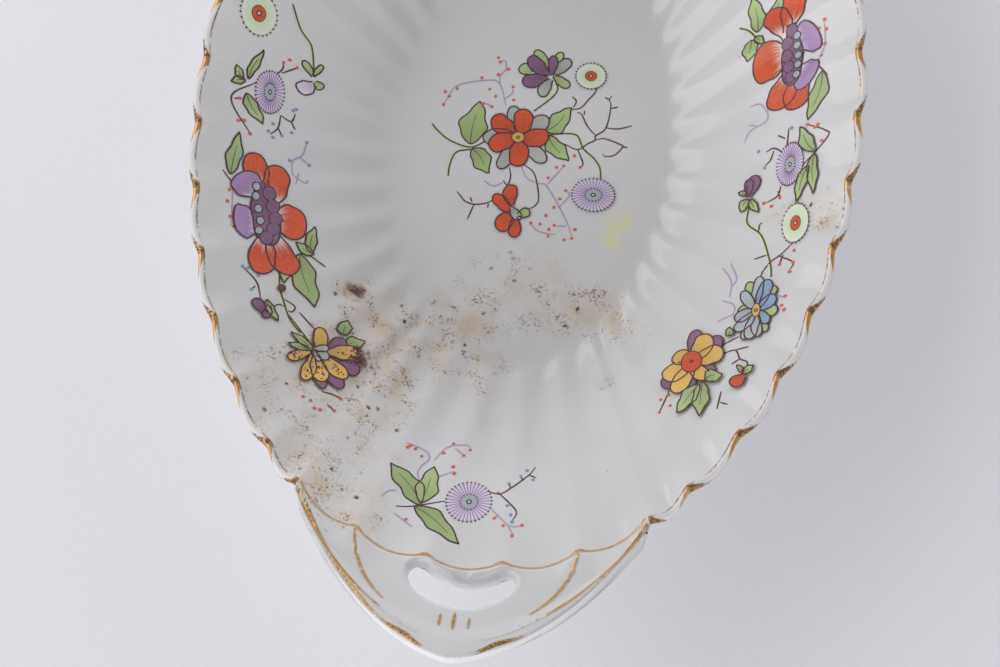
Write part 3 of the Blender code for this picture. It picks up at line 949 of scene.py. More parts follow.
def draw_centre(spray):
    """The spray on the flat of the well, round a red flower."""
    spray.lines(LILAC, [
        [(-7, 7.5), (-9, 12.5), (-12, 13), (-17.5, 11.5), (-19, 10), (-20.5, 6.5)],
        [(-9, 12.5), (-9, 14.5), (-8, 16), (-8.5, 18), (-9.5, 17.5)], [(-7.5, 9), (-6, 10.5), (-6, 11.5)],
        [(-12, 7.5), (-11, 7.5), (-10, 7)],
    ])
    spray.dots(BERRY, [
        (-20.5, 9.5), (-19.5, 8.5), (-20.5, 6.5), (-18, 10.5), (-13, 13.5), (-11, 11), (-10, 18.5),
        (-9.5, 17.5), (-7.5, 16), (-9.5, 14.5), (-6, 12), (-5.5, 9), (-9.5, 9.5), (-12, 7.5), (-10, 7),
    ])
    spray.lines(LILAC, [
        [(-2, -6), (-0.5, -8.5), (2, -9.5), (4, -10), (8.5, -16.5), (10.5, -20.5)], [(4, -9.5), (7, -5)],
        [(7, -14.5), (9, -11.5), (8, -10.5)], [(9, -18.5), (7, -18.5)],
        [(1.5, -18.5), (3, -20), (5.5, -20.5), (7, -20.5)], [(-9.5, -10), (-7.5, -11), (-5.5, -10)],
    ])
    spray.dots(BERRY, [
        (5.5, -5.5), (7, -5), (4, -8), (8, -10.5), (7, -12.5), (6, -14.5), (4.5, -16.5), (1.5, -18.5),
        (3.5, -18.5), (5.5, -19.5), (6.5, -18.5), (5.5, -21), (9, -21.5), (10.5, -21), (11, -19),
    ])
    spray.lines(BROWN, [
        [(6.5, 0), (9.5, -1), (11.5, 0.5), (13, 1.5), (13, 2.5), (15, 4.5), (15.5, 9.5), (15, 11),
         (15.5, 12)],
        [(13, 2.5), (11, 4.5), (9.5, 7), (8.5, 7.5)], [(15, 4.5), (17.5, 4.5), (20.5, 5.5)],
        [(13, 1.5), (15, 2), (18.5, 1), (19, 0.5), (17.5, -1.5), (15.5, -2), (15, -1.5)],
        [(19, 0.5), (20, 0.5)], [(9.5, -1), (11, -4), (10.5, -5)], [(15.5, 9), (17, 9.5)], [(10, 7), (10, 8)],
        [(15, 11), (14, 11.5)],
    ])
    spray.dots(BERRY, [(9, -2.5), (10.5, -5)])
    spray.lines(BROWN, [
        [(-7, -14), (-8.5, -15), (-11, -15.5), (-13, -15), (-14, -14), (-15, -13)],
        [(-11, -15.5), (-12, -19)], [(-11.5, -15), (-12, -14)], [(-8, -15), (-8, -16)],
        [(-4.5, -6.5), (-4, -8.5), (-4.5, -10.5), (-5.5, -9.5)],
        [(-1.5, -5.5), (1, -7.5), (2.5, -12.5), (2, -14.5), (0.5, -15.5)],
    ])
    spray.stems([
        [(-10, -0.5), (-13.5, -2.5), (-18, -1.5), (-21, 0.5), (-22.5, 2)],
        [(-13.5, -3), (-16.5, -4), (-17.5, -7), (-17.5, -9.5)],
        [(3, 2), (8.5, 2.5), (10.5, -0.5), (13, -2.5), (14.5, -4.5), (15, -7)],
        [(-1, 7), (2.5, 10.5), (3.5, 12.5), (3, 14)],
    ])
    spray.lines(BROWN, [[(11, 15), (12, 13), (10.5, 10.5), (9, 8.5), (7, 8)], [(7.5, 8.5), (8, 10), (7, 11)]])
    spray.leaves([
        ((-13.5, -2), (-13, 8), 5.5), ((-13, -3), (-8.5, -8), 4), ((2, 2.5), (7.5, 8), 4),
        ((3, 1.5), (7.5, -4), 3.5),
    ])
    # purple flower
    spray.petals(GREEN, [
        ((1.5, 15.5), (-2, 21), 2.5), ((1.5, 15.5), (3.5, 21), 2), ((-2.5, 15.5), (-5, 17), 2.5),
        ((2.5, 15.5), (6, 13), 2),
    ])
    spray.petals(GREY, [((2.5, 15.5), (5.5, 19.5), 2.5), ((2, 14.5), (0, 10.5), 2.5)])
    spray.petals(PURPLE, [((1.5, 15.5), (-3.5, 19), 3), ((1, 15), (-4, 13), 3), ((2, 15.5), (2, 20), 2)])
    # red flower
    spray.bloom(GREY, (-3.5, 0.5), [
        (-5.5, 7.5, 3), (2.5, 5.5, 3.5), (3, -4.5, 3), (-6.5, -7, 3), (-11, 0, 3.5),
    ])
    spray.bloom(RED, (-3.5, 0.5), [(-9.5, 4.5, 4), (-2.5, 7, 4), (3, 1, 4), (-2.5, -6, 4), (-9.5, -2, 4)])
    spray.eye((-3.5, 0.5), (1.5, 1.3), YELLOW)
    # bud
    spray.petals(RED, [
        ((-3, -15), (-4, -10.5), 3), ((-2.5, -17), (-7, -13), 2.5), ((-2, -16.5), (-5.5, -20.5), 3.5),
        ((-2, -17.5), (-1.5, -22), 2.5),
    ])
    spray.petals(GREY, [((-3, -15.5), (-1, -18), 2)])
    spray.petals(GREEN, [((-1.5, -17), (1, -16), 2)])
    spray.dotted_flower((10.5, 16), (3.3, 3))
    spray.daisy((14, -11), (4.6, 3.7))


def draw_end(spray):
    """The small spray on the wall inside a handle."""
    spray.lines(LILAC, [
        [(-11.5, -80.5), (-12.5, -78.5), (-12, -76.5), (-11, -75), (-11.5, -73.5), (-13.5, -72.5),
         (-16, -72)],
        [(-10, -75), (-8, -71.5), (-4.5, -70.5), (-3.5, -71)], [(-6.5, -71.5), (-4.5, -73)],
        [(-12.5, -81), (-5.5, -77)], [(-18, -85), (-17, -83.5), (-15.5, -83)], [(-15, -88), (-11, -90.5)],
        [(-13, -89), (-12.5, -89)], [(3, -84.5), (6.5, -87.5), (8, -88), (9.5, -87.5)],
        [(6.5, -87.5), (8, -89.5)], [(4.5, -85.5), (4, -86.5)],
    ])
    spray.dots(BERRY, [
        (-15.5, -73), (-15, -72.5), (-14, -73), (-12.5, -74.5), (-8.5, -73), (-7, -70.5), (-3.5, -71.5),
        (-4.5, -73), (-6, -76), (-5.5, -77.5), (-12.5, -89), (4, -86.5), (6, -88), (8, -90), (9.5, -87.5),
    ])
    spray.lines(BROWN, [
        [(1.5, -80.5), (4, -81), (6, -79.5), (9, -76), (10, -74)], [(9, -76), (10.5, -76.5)],
        [(3.5, -80.5), (7.5, -84), (8, -85.5), (7.5, -86.5)], [(-15, -86.5), (-12, -86), (-6, -84)],
        [(6, -79.5), (5.5, -78.5)], [(8, -77.5), (7.5, -76.5)],
    ])
    spray.dots(BLUE, [(5.5, -78.5), (7.5, -76.5), (8.5, -75), (10, -77), (6, -83.5), (7, -85.5), (7.5, -87)])
    spray.leaves([
        ((-10.5, -85.5), (-17.5, -77), 4), ((-10.5, -85), (-9.5, -76.5), 4),
        ((-11.5, -86), (-1.5, -92.5), 3.5),
    ])
    spray.daisy((-1.5, -83.5), (4.4, 4.5))


def draw_left(spray):
    """The spray along the left wall, down to its red flower."""
    spray.stems([[(-52.5, 18.5), (-50.5, 14), (-48, 11), (-47, 5.5)]])
    spray.petals(GREEN, [((-47, 5), (-49, 7.5), 1.5), ((-47, 5), (-45.5, 8), 1), ((-46.5, 4), (-45, 3), 2)])
    spray.petals(PALE_LILAC, [((-46.5, 3.5), (-49, 0.5), 3)])
    spray.lines(BROWN, [
        [(-56.5, -1), (-60.5, -6), (-56, -12.5)], [(-57.5, -10), (-58.5, -10.5)], [(-60, -6), (-59, -5.5)],
        [(-53.5, 2), (-52.5, 4), (-52.5, 5.5)], [(-52.5, 3), (-50, 5.5)],
        [(-51.5, -6), (-51.5, -9), (-52.5, -11)], [(-51.5, -9), (-50.5, -10.5)],
        [(-51.5, -6), (-49.5, -6.5), (-49, -4.5)], [(-49.5, -6.5), (-48.5, -8)],
    ])
    spray.dots(BERRY, [
        (-59, -5.5), (-58.5, -10.5), (-57.5, -10), (-56, -12.5), (-52.5, 5.5), (-51.5, 6.5), (-50, 5.5),
    ])
    spray.dots(BLUE, [
        (-52.5, -8.5), (-53, -10.5), (-52, -11.5), (-50.5, -10.5), (-49.5, -4), (-49, -3.5), (-49, -9),
    ])
    spray.leaves([
        ((-58, -1), (-56.5, 6.5), 1.5), ((-58, -4), (-54.5, -9.5), 2.5), ((-59, -1.5), (-60.5, 1), 1.5),
        ((-58.5, -1.5), (-61, -2.5), 1.5),
    ])
    spray.daisy((-54, -2), (2.6, 4.6))
    spray.dotted_flower((-58, 13.5), (3.3, 4.6))
    spray.leaves([((-58, -22.5), (-58, -13), 2.5)])
    spray.lines(BROWN, [[(-59.5, -22), (-57.5, -24), (-55.5, -25)]])
    spray.lines(LILAC, [
        [(-47.5, -18), (-48, -15), (-46.5, -13), (-46, -10.5)], [(-47.5, -18), (-45, -19), (-44.5, -18)],
        [(-47, -13.5), (-45, -14.5)], [(-46.5, -20), (-46.5, -17)], [(-57, -25.5), (-56, -33.5)],
    ])
    spray.dots(BERRY, [(-57.5, -26), (-57.5, -28.5), (-56.5, -31.5), (-55, -32.5), (-55.5, -33.5)])
    spray.dots(BLUE, [(-48.5, -15), (-46, -10), (-45, -14.5)])
    spray.stems([[(-43.5, -34.5), (-41.5, -34.5), (-38.5, -36)]])
    spray.leaves([
        ((-41.5, -34), (-42, -28), 2), ((-41, -34), (-44.5, -33), 2), ((-43.5, -35), (-39, -46), 4.5),
        ((-46, -38), (-44.5, -42.5), 2),
    ])
    # red flower, seen from its side behind a purple crown
    spray.petals(RED, [
        ((-51.5, -24), (-55.5, -16.5), 4.4), ((-50.5, -27), (-49.8, -17.2), 4.6),
        ((-50, -33), (-49.3, -42), 4.6), ((-49, -32), (-44.2, -40.5), 5), ((-50, -29.5), (-43.3, -28.2), 7.4),
    ], THROAT)
    spray.petals(MAUVE, [((-52, -25), (-57, -22.4), 6), ((-51.2, -31), (-55.9, -32), 7)], PALE_LILAC)
    spray.petals(PURPLE, [((-52.8, -22.3), (-48.8, -35.3), 4.8)])
    spray.knobs(PURPLE, [
        (-50.8, -24), (-49.8, -26.5), (-48.9, -29), (-48.8, -31.5), (-49.6, -34),
    ], (1.3, 1.6))
    spray.knobs(GREY_BLUE, [
        (-53.2, -23.5), (-53, -25.5), (-52.2, -28), (-51.4, -30.5), (-51.2, -32.8),
    ], (0.8, 1))


def draw_left_tail(spray):
    """The end of the left spray: a small bud and a speckled yellow flower."""
    spray.stems([[(-46.5, -39), (-45.5, -43.5), (-44, -47), (-42.5, -50), (-40, -52.5)]])
    spray.lines(BROWN, [
        [(-48, -47.5), (-49.5, -44), (-52.5, -41.5)], [(-49.5, -45), (-50, -46)],
        [(-46, -49), (-44.5, -47.5), (-42.5, -48.5), (-42, -47), (-44.5, -46)],
    ])
    spray.dots(BLUE, [(-52.5, -41.5), (-51.5, -41.5), (-50.5, -41.5), (-49.5, -42.5), (-50, -46)])
    spray.petals(PURPLE, [((-47, -50.5), (-49, -48), 2), ((-46.5, -48.5), (-46.5, -51.5), 1.5)])
    spray.leaves([((-47, -47.5), (-44.5, -51.5), 1.5)])
    spray.knobs(BROWN, [(-45, -44)], (0.8, 0.9))
    # speckled yellow flower
    spray.lines(BROWN, [[(-41, -48), (-37.5, -51)]])
    spray.stems([[(-43, -49), (-37.5, -54.5)]])
    spray.leaves([
        ((-32.5, -50.5), (-32.5, -47), 2.5), ((-31.5, -53), (-28.5, -50.5), 3),
        ((-37, -56), (-41.5, -53), 1.5), ((-37.5, -56.5), (-41.5, -55.5), 1.5),
    ])
    spray.petals(PURPLE, [
        ((-34.5, -54.5), (-32, -51.5), 2.5), ((-36.5, -57.5), (-33.5, -64), 2),
        ((-34.5, -57.5), (-30.5, -63), 2.5), ((-32, -57.5), (-28, -58), 3),
    ])
    lower = [
        ((-37.5, -56.5), (-41, -59), 2), ((-37, -57), (-37, -63), 2.5), ((-36.5, -56.5), (-34, -62.5), 3),
        ((-35.5, -56.5), (-30, -60.5), 3), ((-34.5, -55.5), (-29, -54), 3.5),
    ]
    spray.petals(YELLOW, [((-36, -56.5), (-36.5, -50.5), 2.5), *lower])
    # the first petal is speckled last, which keeps each speckle's random place
    for base, tip, _ in lower[1:] + lower[:1]:
        spray.speckles(base, tip, 16)
    spray.petals(GREY, [
        ((-37, -55.5), (-34.5, -54.5), 1.5), ((-36.5, -56.5), (-34, -56.5), 2), ((-37, -56), (-35.5, -58), 1),
    ])
    spray.lines(BROWN, [[(-33.5, -64.5), (-31.5, -64.5), (-30, -65)], [(-32, -67), (-30.5, -68)]])
    spray.dots(BERRY, [(-36.5, -66.5), (-35, -67), (-30, -65), (-30.5, -68), (-34, -68.5), (-33, -68.5)])


def draw_burnt_specks(spray):
    """Old dirt burnt on to one yellow petal and on to the wall above it."""
    for tip in ((-27.5, -56.5), (-29.5, -52.5), (-30.0, -57.0)):
        spray.speckles((-29.0, -54.0), tip, 60, BROWN)
    spray.speckles((-34.0, -39.2), (-30.5, -39.6), 40, BROWN)


def draw_right(spray):
    """The spray along the right wall, from its red flower to the dotted one."""
    spray.leaves([
        ((45, 23.5), (43.5, 31), 3), ((49, 25.5), (48.5, 30), 2.5), ((44, 22), (43.5, 17.5), 3),
        ((44.5, 22.5), (46.5, 20.5), 1.5),
    ])
    spray.stems([[(41, 25.5), (43, 24.5), (45, 22), (46.5, 20.5)]])
    spray.lines(BROWN, [[(57, 13.5), (59.5, 10.5)]])
    spray.leaves([((58.5, 11.5), (57, 1.5), 3)])
    spray.lines(LILAC, [[(57.5, 14), (58.5, 17.5), (58, 22)]])
    spray.dots(BERRY, [(58, 22.5), (58.5, 20.5), (57, 21), (58.5, 17.5), (58, 15)])
    spray.lines(LILAC, [
        [(48.5, 6), (48.5, 3.5), (45.5, 2), (44.5, -0.5)], [(48.5, 5.5), (47, 7.5), (45, 7.5)],
        [(46.5, 3), (45, 3.5)],
    ])
    # red flower, seen from its side behind a purple crown
    spray.petals(RED, [
        ((51, 21.5), (52.2, 31), 4.6), ((51, 20.5), (47.4, 27.5), 4.6), ((53, 12), (54.4, 4.8), 4.8),
        ((52, 13.5), (50.4, 5.4), 5.2), ((52, 17), (44.8, 15.7), 8.4),
    ], THROAT)
    spray.petals(MAUVE, [((53.2, 12.8), (57, 10.8), 6.2), ((52.8, 18.5), (57.1, 20.4), 7.2)], PALE_LILAC)
    spray.petals(PURPLE, [((51.6, 23.2), (53, 10), 3.9)])
    spray.knobs(PURPLE, [(51.8, 21.8), (51.2, 19.3), (51.4, 16.6), (51.9, 14.2), (52.5, 11.8)], (1.15, 1.4))
    spray.knobs(GREY_BLUE, [(53, 20.5), (53.2, 18.5), (53.6, 16.3), (53.7, 14.2), (53.6, 12)], (0.8, 0.9))
    spray.daisy((54, -7.5), (2.5, 4.8))
    spray.lines(BROWN, [
        [(56, -8.5), (60.5, -3), (60, -1.5), (56.5, 0.5)], [(53, -5), (53, 0.5)],
        [(52.5, -4.5), (50.5, -3), (49, -3.5)], [(52.5, -1.5), (51, -0.5)],
        [(50.5, -3.5), (50, -5.5), (49, -6.5)], [(52.5, -12), (52, -14), (50, -15)],
        [(52, -13), (52.5, -14.5)],
    ])
    spray.dots(BERRY, [
        (56.5, 0.5), (58, -0.5), (59.5, -3.5), (58.5, 0), (49.5, -15), (51, -16), (52.5, -14.5),
    ])
    spray.dots(BLUE, [(47.5, -3), (53.5, 0.5), (49, -7)])
    spray.leaves([((58.5, -5.5), (55, 0), 2.5), ((57.5, -8.5), (55.5, -16), 2), ((58.5, -6), (58.5, -15), 2)])
    spray.stems([[(46.5, -15), (46.5, -19), (49.5, -22.5), (51.5, -28.5), (52, -32)]])
    spray.lines(BROWN, [[(49, -22), (49, -20), (49.5, -19.5)], [(48.5, -27.5), (51, -27)]])
    spray.petals(PURPLE, [((46.5, -13), (47.7, -8.6), 2.5), ((46.3, -13), (46.4, -9.2), 1.7)])
    spray.leaves([
        ((46.5, -13.5), (45, -16), 2), ((47, -13.5), (48.5, -17), 1.5), ((46, -12.5), (44.5, -11.5), 1),
    ])
    spray.dotted_flower((56, -21), (2.5, 4.5))
    spray.lines(BROWN, [
        [(55.5, -25.5), (53.5, -27.5), (52, -28.5), (50.5, -30.5), (50, -32.5)],
        [(53, -27.5), (56, -29.5), (55.5, -31)], [(54, -27.5), (53.5, -29.5)],
    ])
    spray.dots(BERRY, [(56, -27), (56, -29.5), (55.5, -31.5), (53.5, -29.5)])


def draw_right_tail(spray):
    """The end of the right spray: a blue flower and a yellow one."""
    spray.lines(LILAC, [
        [(44.5, -35.5), (44.5, -32), (42.5, -28.5)], [(44.5, -33.5), (45.5, -31.5), (44, -27.5)],
        [(45.5, -40.5), (45.5, -37.5), (43, -36)], [(45.5, -39.5), (42.5, -41)], [(53.5, -36.5), (55, -37.5)],
    ])
    spray.dots(BERRY, [(55, -37), (54.5, -39), (55, -40)])
    # blue flower
    spray.bloom(GREEN, (50, -39.5), [
        (48, -33, 2), (53, -34.5, 2.5), (54, -40, 2.5), (52, -44.5, 2), (46.5, -39, 2.5), (48, -46, 2),
    ])
    spray.petals(GREY_BLUE, [((50, -39.5), (50, -32), 2)])
    spray.bloom(BLUE, (50, -39.5), [(52, -33, 2.5), (53.5, -37, 2.5), (52.5, -42.5, 2)])
    spray.bloom(GREY_BLUE, (50, -39.5), [
        (50.5, -45.5, 2), (49, -46, 2.5), (46.5, -44, 2.5), (46, -41, 2.5), (47, -35, 2),
    ])
    spray.eye((50, -39.5), (0.9, 1.6), YELLOW)
    # yellow flower
    spray.bloom(PURPLE, (38.5, -50), [
        (39, -42.5, 3), (44, -45, 3.5), (43, -53, 3), (38, -57.5, 3), (33.5, -55.5, 3.5),
    ])
    spray.bloom(YELLOW, (38.5, -50), [
        (41.5, -44, 4), (44.5, -48, 4), (41.5, -54.5, 3), (36, -57, 3.5), (33.5, -53.5, 4), (35, -48, 3.5),
    ])
    spray.eye((38.5, -50), (2.1, 2.6), RED)
    spray.leaves([
        ((41, -55), (41, -62.5), 3), ((40.5, -55.5), (36.5, -61.5), 3), ((41.5, -54.5), (44.5, -53), 3),
        ((45, -45), (45.5, -43), 1.5),
    ])
    spray.lines(BROWN, [
        [(44, -48.5), (46.5, -48), (47.5, -50), (49, -51), (48.5, -53)], [(46.5, -48), (49, -47.5)],
        [(47.5, -50), (46, -51)], [(44, -46.5), (47, -45)],
    ])
    spray.petals(RED, [((49, -54), (46.5, -56), 2.5)])
    spray.leaves([((48.5, -53.5), (47.5, -51.5), 1), ((48.5, -53.5), (50.5, -52), 1.5)])
    spray.lines(BROWN, [[(34.5, -56), (33, -61)]])
    spray.dots(BERRY, [(33, -58), (34.5, -57), (35, -59.5), (33, -61)])
    spray.lines(BROWN, [[(44.5, -57), (44, -61)], [(44.5, -59.5), (46, -60)]])


# ---------------------------------------------------------------- materials


class Look:
    """A Principled material and short ways to add nodes to it."""

    def __init__(self, name):
        self.material = bpy.data.materials.new(name)
        self.material.use_nodes = True
        self.nodes = self.material.node_tree.nodes
        self.links = self.material.node_tree.links
        self.shader = self.nodes["Principled BSDF"]
        coordinates = self.nodes.new("ShaderNodeTexCoord")
        self.place = coordinates.outputs["Object"]
        self.facing = coordinates.outputs["Normal"]

    def connect(self, value, socket):
        """Set a socket to a number or colour, or link another socket to it."""
        if isinstance(value, bpy.types.NodeSocket):
            self.links.new(value, socket)
        elif isinstance(value, tuple) and len(value) == 3 and socket.type == "RGBA":
            socket.default_value = (*value, 1.0)
        else:
            socket.default_value = value

    def noise(self, scale, detail=3.0, rough=0.55):
        """Fractal noise over the object, with features of about 1/scale metres."""
        node = self.nodes.new("ShaderNodeTexNoise")
        self.connect(self.place, node.inputs["Vector"])
        self.connect(scale, node.inputs["Scale"])
        self.connect(detail, node.inputs["Detail"])
        self.connect(rough, node.inputs["Roughness"])
        return node.outputs["Fac"]

    def cells(self, scale):
        """Distance to the nearest of scattered points."""
        node = self.nodes.new("ShaderNodeTexVoronoi")
        self.connect(self.place, node.inputs["Vector"])
        self.connect(scale, node.inputs["Scale"])
        return node.outputs["Distance"]

    def ramp(self, value, low, high, start=0.0, stop=1.0):
        """Smooth change from start to stop as a value goes from low to high."""
        node = self.nodes.new("ShaderNodeMapRange")
        node.interpolation_type = "SMOOTHSTEP"
        self.connect(value, node.inputs["Value"])
        self.connect(low, node.inputs["From Min"])
        self.connect(high, node.inputs["From Max"])
        self.connect(start, node.inputs["To Min"])
        self.connect(stop, node.inputs["To Max"])
        return node.outputs["Result"]

    def maths(self, operation, first, second=0.0, clamped=True):
        """One arithmetic step, clamped to 0..1 unless told otherwise."""
        node = self.nodes.new("ShaderNodeMath")
        node.operation = operation
        node.use_clamp = clamped
        self.connect(first, node.inputs[0])
        self.connect(second, node.inputs[1])
        return node.outputs[0]

    def times(self, first, *others):
        """Product of values."""
        for other in others:
            first = self.maths("MULTIPLY", first, other)
        return first

    def plus(self, first, second):
        """Sum of two values, at most one."""
        return self.maths("ADD", first, second)

    def most(self, first, *others):
        """Largest of some values."""
        for other in others:
            first = self.maths("MAXIMUM", first, other)
        return first

    def off_middle(self, value):
        """How far a 0..1 value lies from one half."""
        return self.maths("ABSOLUTE", self.maths("SUBTRACT", value, 0.5, clamped=False))

    def mix(self, factor, first, second):
        """Blend two colours."""
        node = self.nodes.new("ShaderNodeMix")
        node.data_type = "RGBA"
        self.connect(factor, node.inputs[0])
        self.connect(first, node.inputs[6])
        self.connect(second, node.inputs[7])
        return node.outputs[2]

    def near(self, x, y, radius):
        """One at a place on the plan, falling to zero at a radius; in millimetres."""
        flat = self.nodes.new("ShaderNodeVectorMath")
        flat.operation = "MULTIPLY"
        self.connect(self.place, flat.inputs[0])
        flat.inputs[1].default_value = (1.0, 1.0, 0.0)
        gap = self.nodes.new("ShaderNodeVectorMath")
        gap.operation = "DISTANCE"
        self.connect(flat.outputs[0], gap.inputs[0])
        gap.inputs[1].default_value = (x * MM, y * MM, 0.0)
        return self.ramp(gap.outputs["Value"], 0.0, radius * MM, 1.0, 0.0)

    def topside(self):
        """One where the surface faces up and zero where it faces down."""
        split = self.nodes.new("ShaderNodeSeparateXYZ")
        self.connect(self.facing, split.inputs[0])
        return self.ramp(split.outputs["Z"], -0.15, 0.15)

    def tint(self):
        """The vertex tint as a colour."""
        node = self.nodes.new("ShaderNodeAttribute")
        node.attribute_name = "tint"
        return node.outputs["Color"]

    def tint_parts(self):
        """The red, green and blue parts of the vertex tint."""
        split = self.nodes.new("ShaderNodeSeparateColor")
        self.connect(self.tint(), split.inputs[0])
        return split.outputs[0], split.outputs[1], split.outputs[2]

    def finish(self, colour, roughness):
        """Set the surface's colour and roughness."""
        self.connect(colour, self.shader.inputs["Base Color"])
        self.connect(roughness, self.shader.inputs["Roughness"])
        return self.material

    def bump(self, height, strength, distance):
        """Small relief under the gloss."""
        node = self.nodes.new("ShaderNodeBump")
        self.connect(height, node.inputs["Height"])
        node.inputs["Strength"].default_value = strength
        node.inputs["Distance"].default_value = distance
        self.connect(node.outputs["Normal"], self.shader.inputs["Normal"])


GLAZE = (0.70, 0.70, 0.71)
GLAZE_GREY = (0.65, 0.65, 0.65)
DIRT_FILM = (0.58, 0.44, 0.28)
DIRT_STAIN = (0.36, 0.19, 0.08)
DIRT_SPECK = (0.15, 0.07, 0.025)
YELLOW_STAIN = (0.74, 0.71, 0.44)
GOLD = (0.73, 0.42, 0.17)
# dark brown of tarnish and dust, also used for the painted dark reflection on the rim's cusp flanks
TARNISH_AND_DARK_REFLECTION = (0.085, 0.055, 0.028)
PAPER = (0.80, 0.79, 0.83)
PALE_PAPER = (0.84, 0.83, 0.865)

# Where old dirt lies on the plan, and one wide weak patch that darkens the lower well: x, y, radius, strength
DIRT = (
    (-30, -41, 9, 0.9), (-33, -56, 13, 1.0), (-21, -47, 15, 0.8), (-24, -61, 14, 0.75),
    (-12, -43, 13, 0.55), (-6, -52, 14, 0.5), (10, -36, 13, 0.5), (19, -37, 11, 0.75),
    (27, -44, 9, 0.35), (-45, -62, 13, 0.5), (-38, -75, 13, 0.6), (-33, -83, 9, 1.0),
    (-21, -89, 9, 0.7), (-24, -75, 16, 0.45), (62, -20.5, 6, 1.0), (58, -17, 7, 0.7),
    # the wide weak patch at (-2, -33) darkens the lower part of the well
    (52, -19, 4, 0.7), (21, -53, 3.5, 0.9), (-2, -33, 20, 0.4), (-33, -39, 4.5, 1.0),
    (-40, -78.5, 5, 1.0), (-31, -91, 8, 0.35),
)

# Spots where the dirt is burnt on: x, y, radius
BURNT = ((-32.2, -39.4, 3.6), (-27.8, -55.0, 4.2))

# The yellow stain: x, y, radius
YELLOW_PLACE = (20.5, -18.5, 6.5)


def porcelain_look():
    """White glaze with a faint grey cast in its tone, brown dirt in patches and pits in the gloss."""
    look = Look("porcelain")
    topside = look.topside()
    region = 0.0
    for x, y, radius, strength in DIRT:
        region = look.plus(region, look.times(look.near(x, y, radius), strength))
    region = look.times(region, topside)
    colour = look.mix(look.ramp(look.noise(26.0), 0.35, 0.7), GLAZE, GLAZE_GREY)

    # thin brown film
    blotch = look.ramp(look.noise(200.0, 5.0, 0.62), 0.42, 0.70)
    film = look.times(look.ramp(region, 0.0, 0.9), look.plus(look.times(blotch, 0.60), 0.12))
    colour = look.mix(film, colour, DIRT_FILM)

    # fine specks in clumps
    grain = look.noise(1900.0, 3.0, 0.6)
    clumps = look.ramp(look.noise(230.0, 5.0, 0.65), 0.47, 0.64)
    clumps = look.times(clumps, look.ramp(region, 0.08, 0.6))
    stained = look.times(look.ramp(grain, 0.46, 0.62), clumps)
    colour = look.mix(look.times(stained, 0.75), colour, DIRT_STAIN)
    speck = look.times(look.ramp(grain, 0.58, 0.65), clumps)
    colour = look.mix(look.times(speck, 0.9), colour, DIRT_SPECK)

    # scattered crumbs, each with a brown halo
    scatter = look.times(look.ramp(look.noise(95.0, 1.0), 0.47, 0.53), look.ramp(region, 0.05, 0.5))
    crumb = look.cells(260.0)
    halo = look.times(look.ramp(crumb, 0.22, 0.08, 0.0, 0.4), scatter)
    colour = look.mix(halo, colour, DIRT_STAIN)
    ragged_crumb = look.plus(crumb, look.ramp(look.noise(1500.0, 2.0), 0.3, 0.7, 0.0, 0.09))
    colour = look.mix(look.times(look.ramp(ragged_crumb, 0.19, 0.13), scatter), colour, DIRT_SPECK)

    # burnt spots, then dust all over, then the yellow stain
    burnt = 0.0
    for x, y, radius in BURNT:
        burnt = look.plus(burnt, look.near(x, y, radius))
    burnt = look.times(burnt, topside, look.ramp(look.noise(420.0, 4.0, 0.7), 0.3, 0.62))
    colour = look.mix(look.ramp(burnt, 0.05, 0.6, 0.0, 0.8), colour, DIRT_SPECK)
    dust = look.ramp(look.cells(85.0), 0.019, 0.012)
    colour = look.mix(look.times(dust, 0.75), colour, TARNISH_AND_DARK_REFLECTION)
    ragged = look.times(look.ramp(look.noise(130.0, 3.0), 0.35, 0.6), topside)
    stain = look.times(look.near(*YELLOW_PLACE), ragged)
    colour = look.mix(look.ramp(stain, 0.05, 0.5, 0.0, 0.75), colour, YELLOW_STAIN)

    look.bump(look.noise(75.0, 2.0), 0.12, 0.0006)
    return look.finish(colour, look.ramp(look.plus(film, speck), 0.0, 0.6, 0.11, 0.5))


def gold_over_glaze(look, gold, tarnish, shine):
    """Blend gold, its brown wear (on the rim also a painted dark reflection) and bare glaze; shine is how
    metallic the gold is.
    """
    colour = look.mix(tarnish, look.mix(gold, GLAZE, GOLD), TARNISH_AND_DARK_REFLECTION)
    metal = look.maths("SUBTRACT", gold, look.times(tarnish, 0.6))
    look.connect(look.times(metal, shine), look.shader.inputs["Metallic"])
    return look.finish(colour, look.ramp(gold, 0.0, 1.0, 0.12, 0.32))


def cusp_patch(look, off_cusp, outward, widens, width, edge):
    """One beside a cusp, over a patch that widens towards the outside of the lip."""
    reach = look.plus(look.times(outward, widens), width)
    return look.ramp(look.maths("SUBTRACT", off_cusp, reach), edge, 0.0)


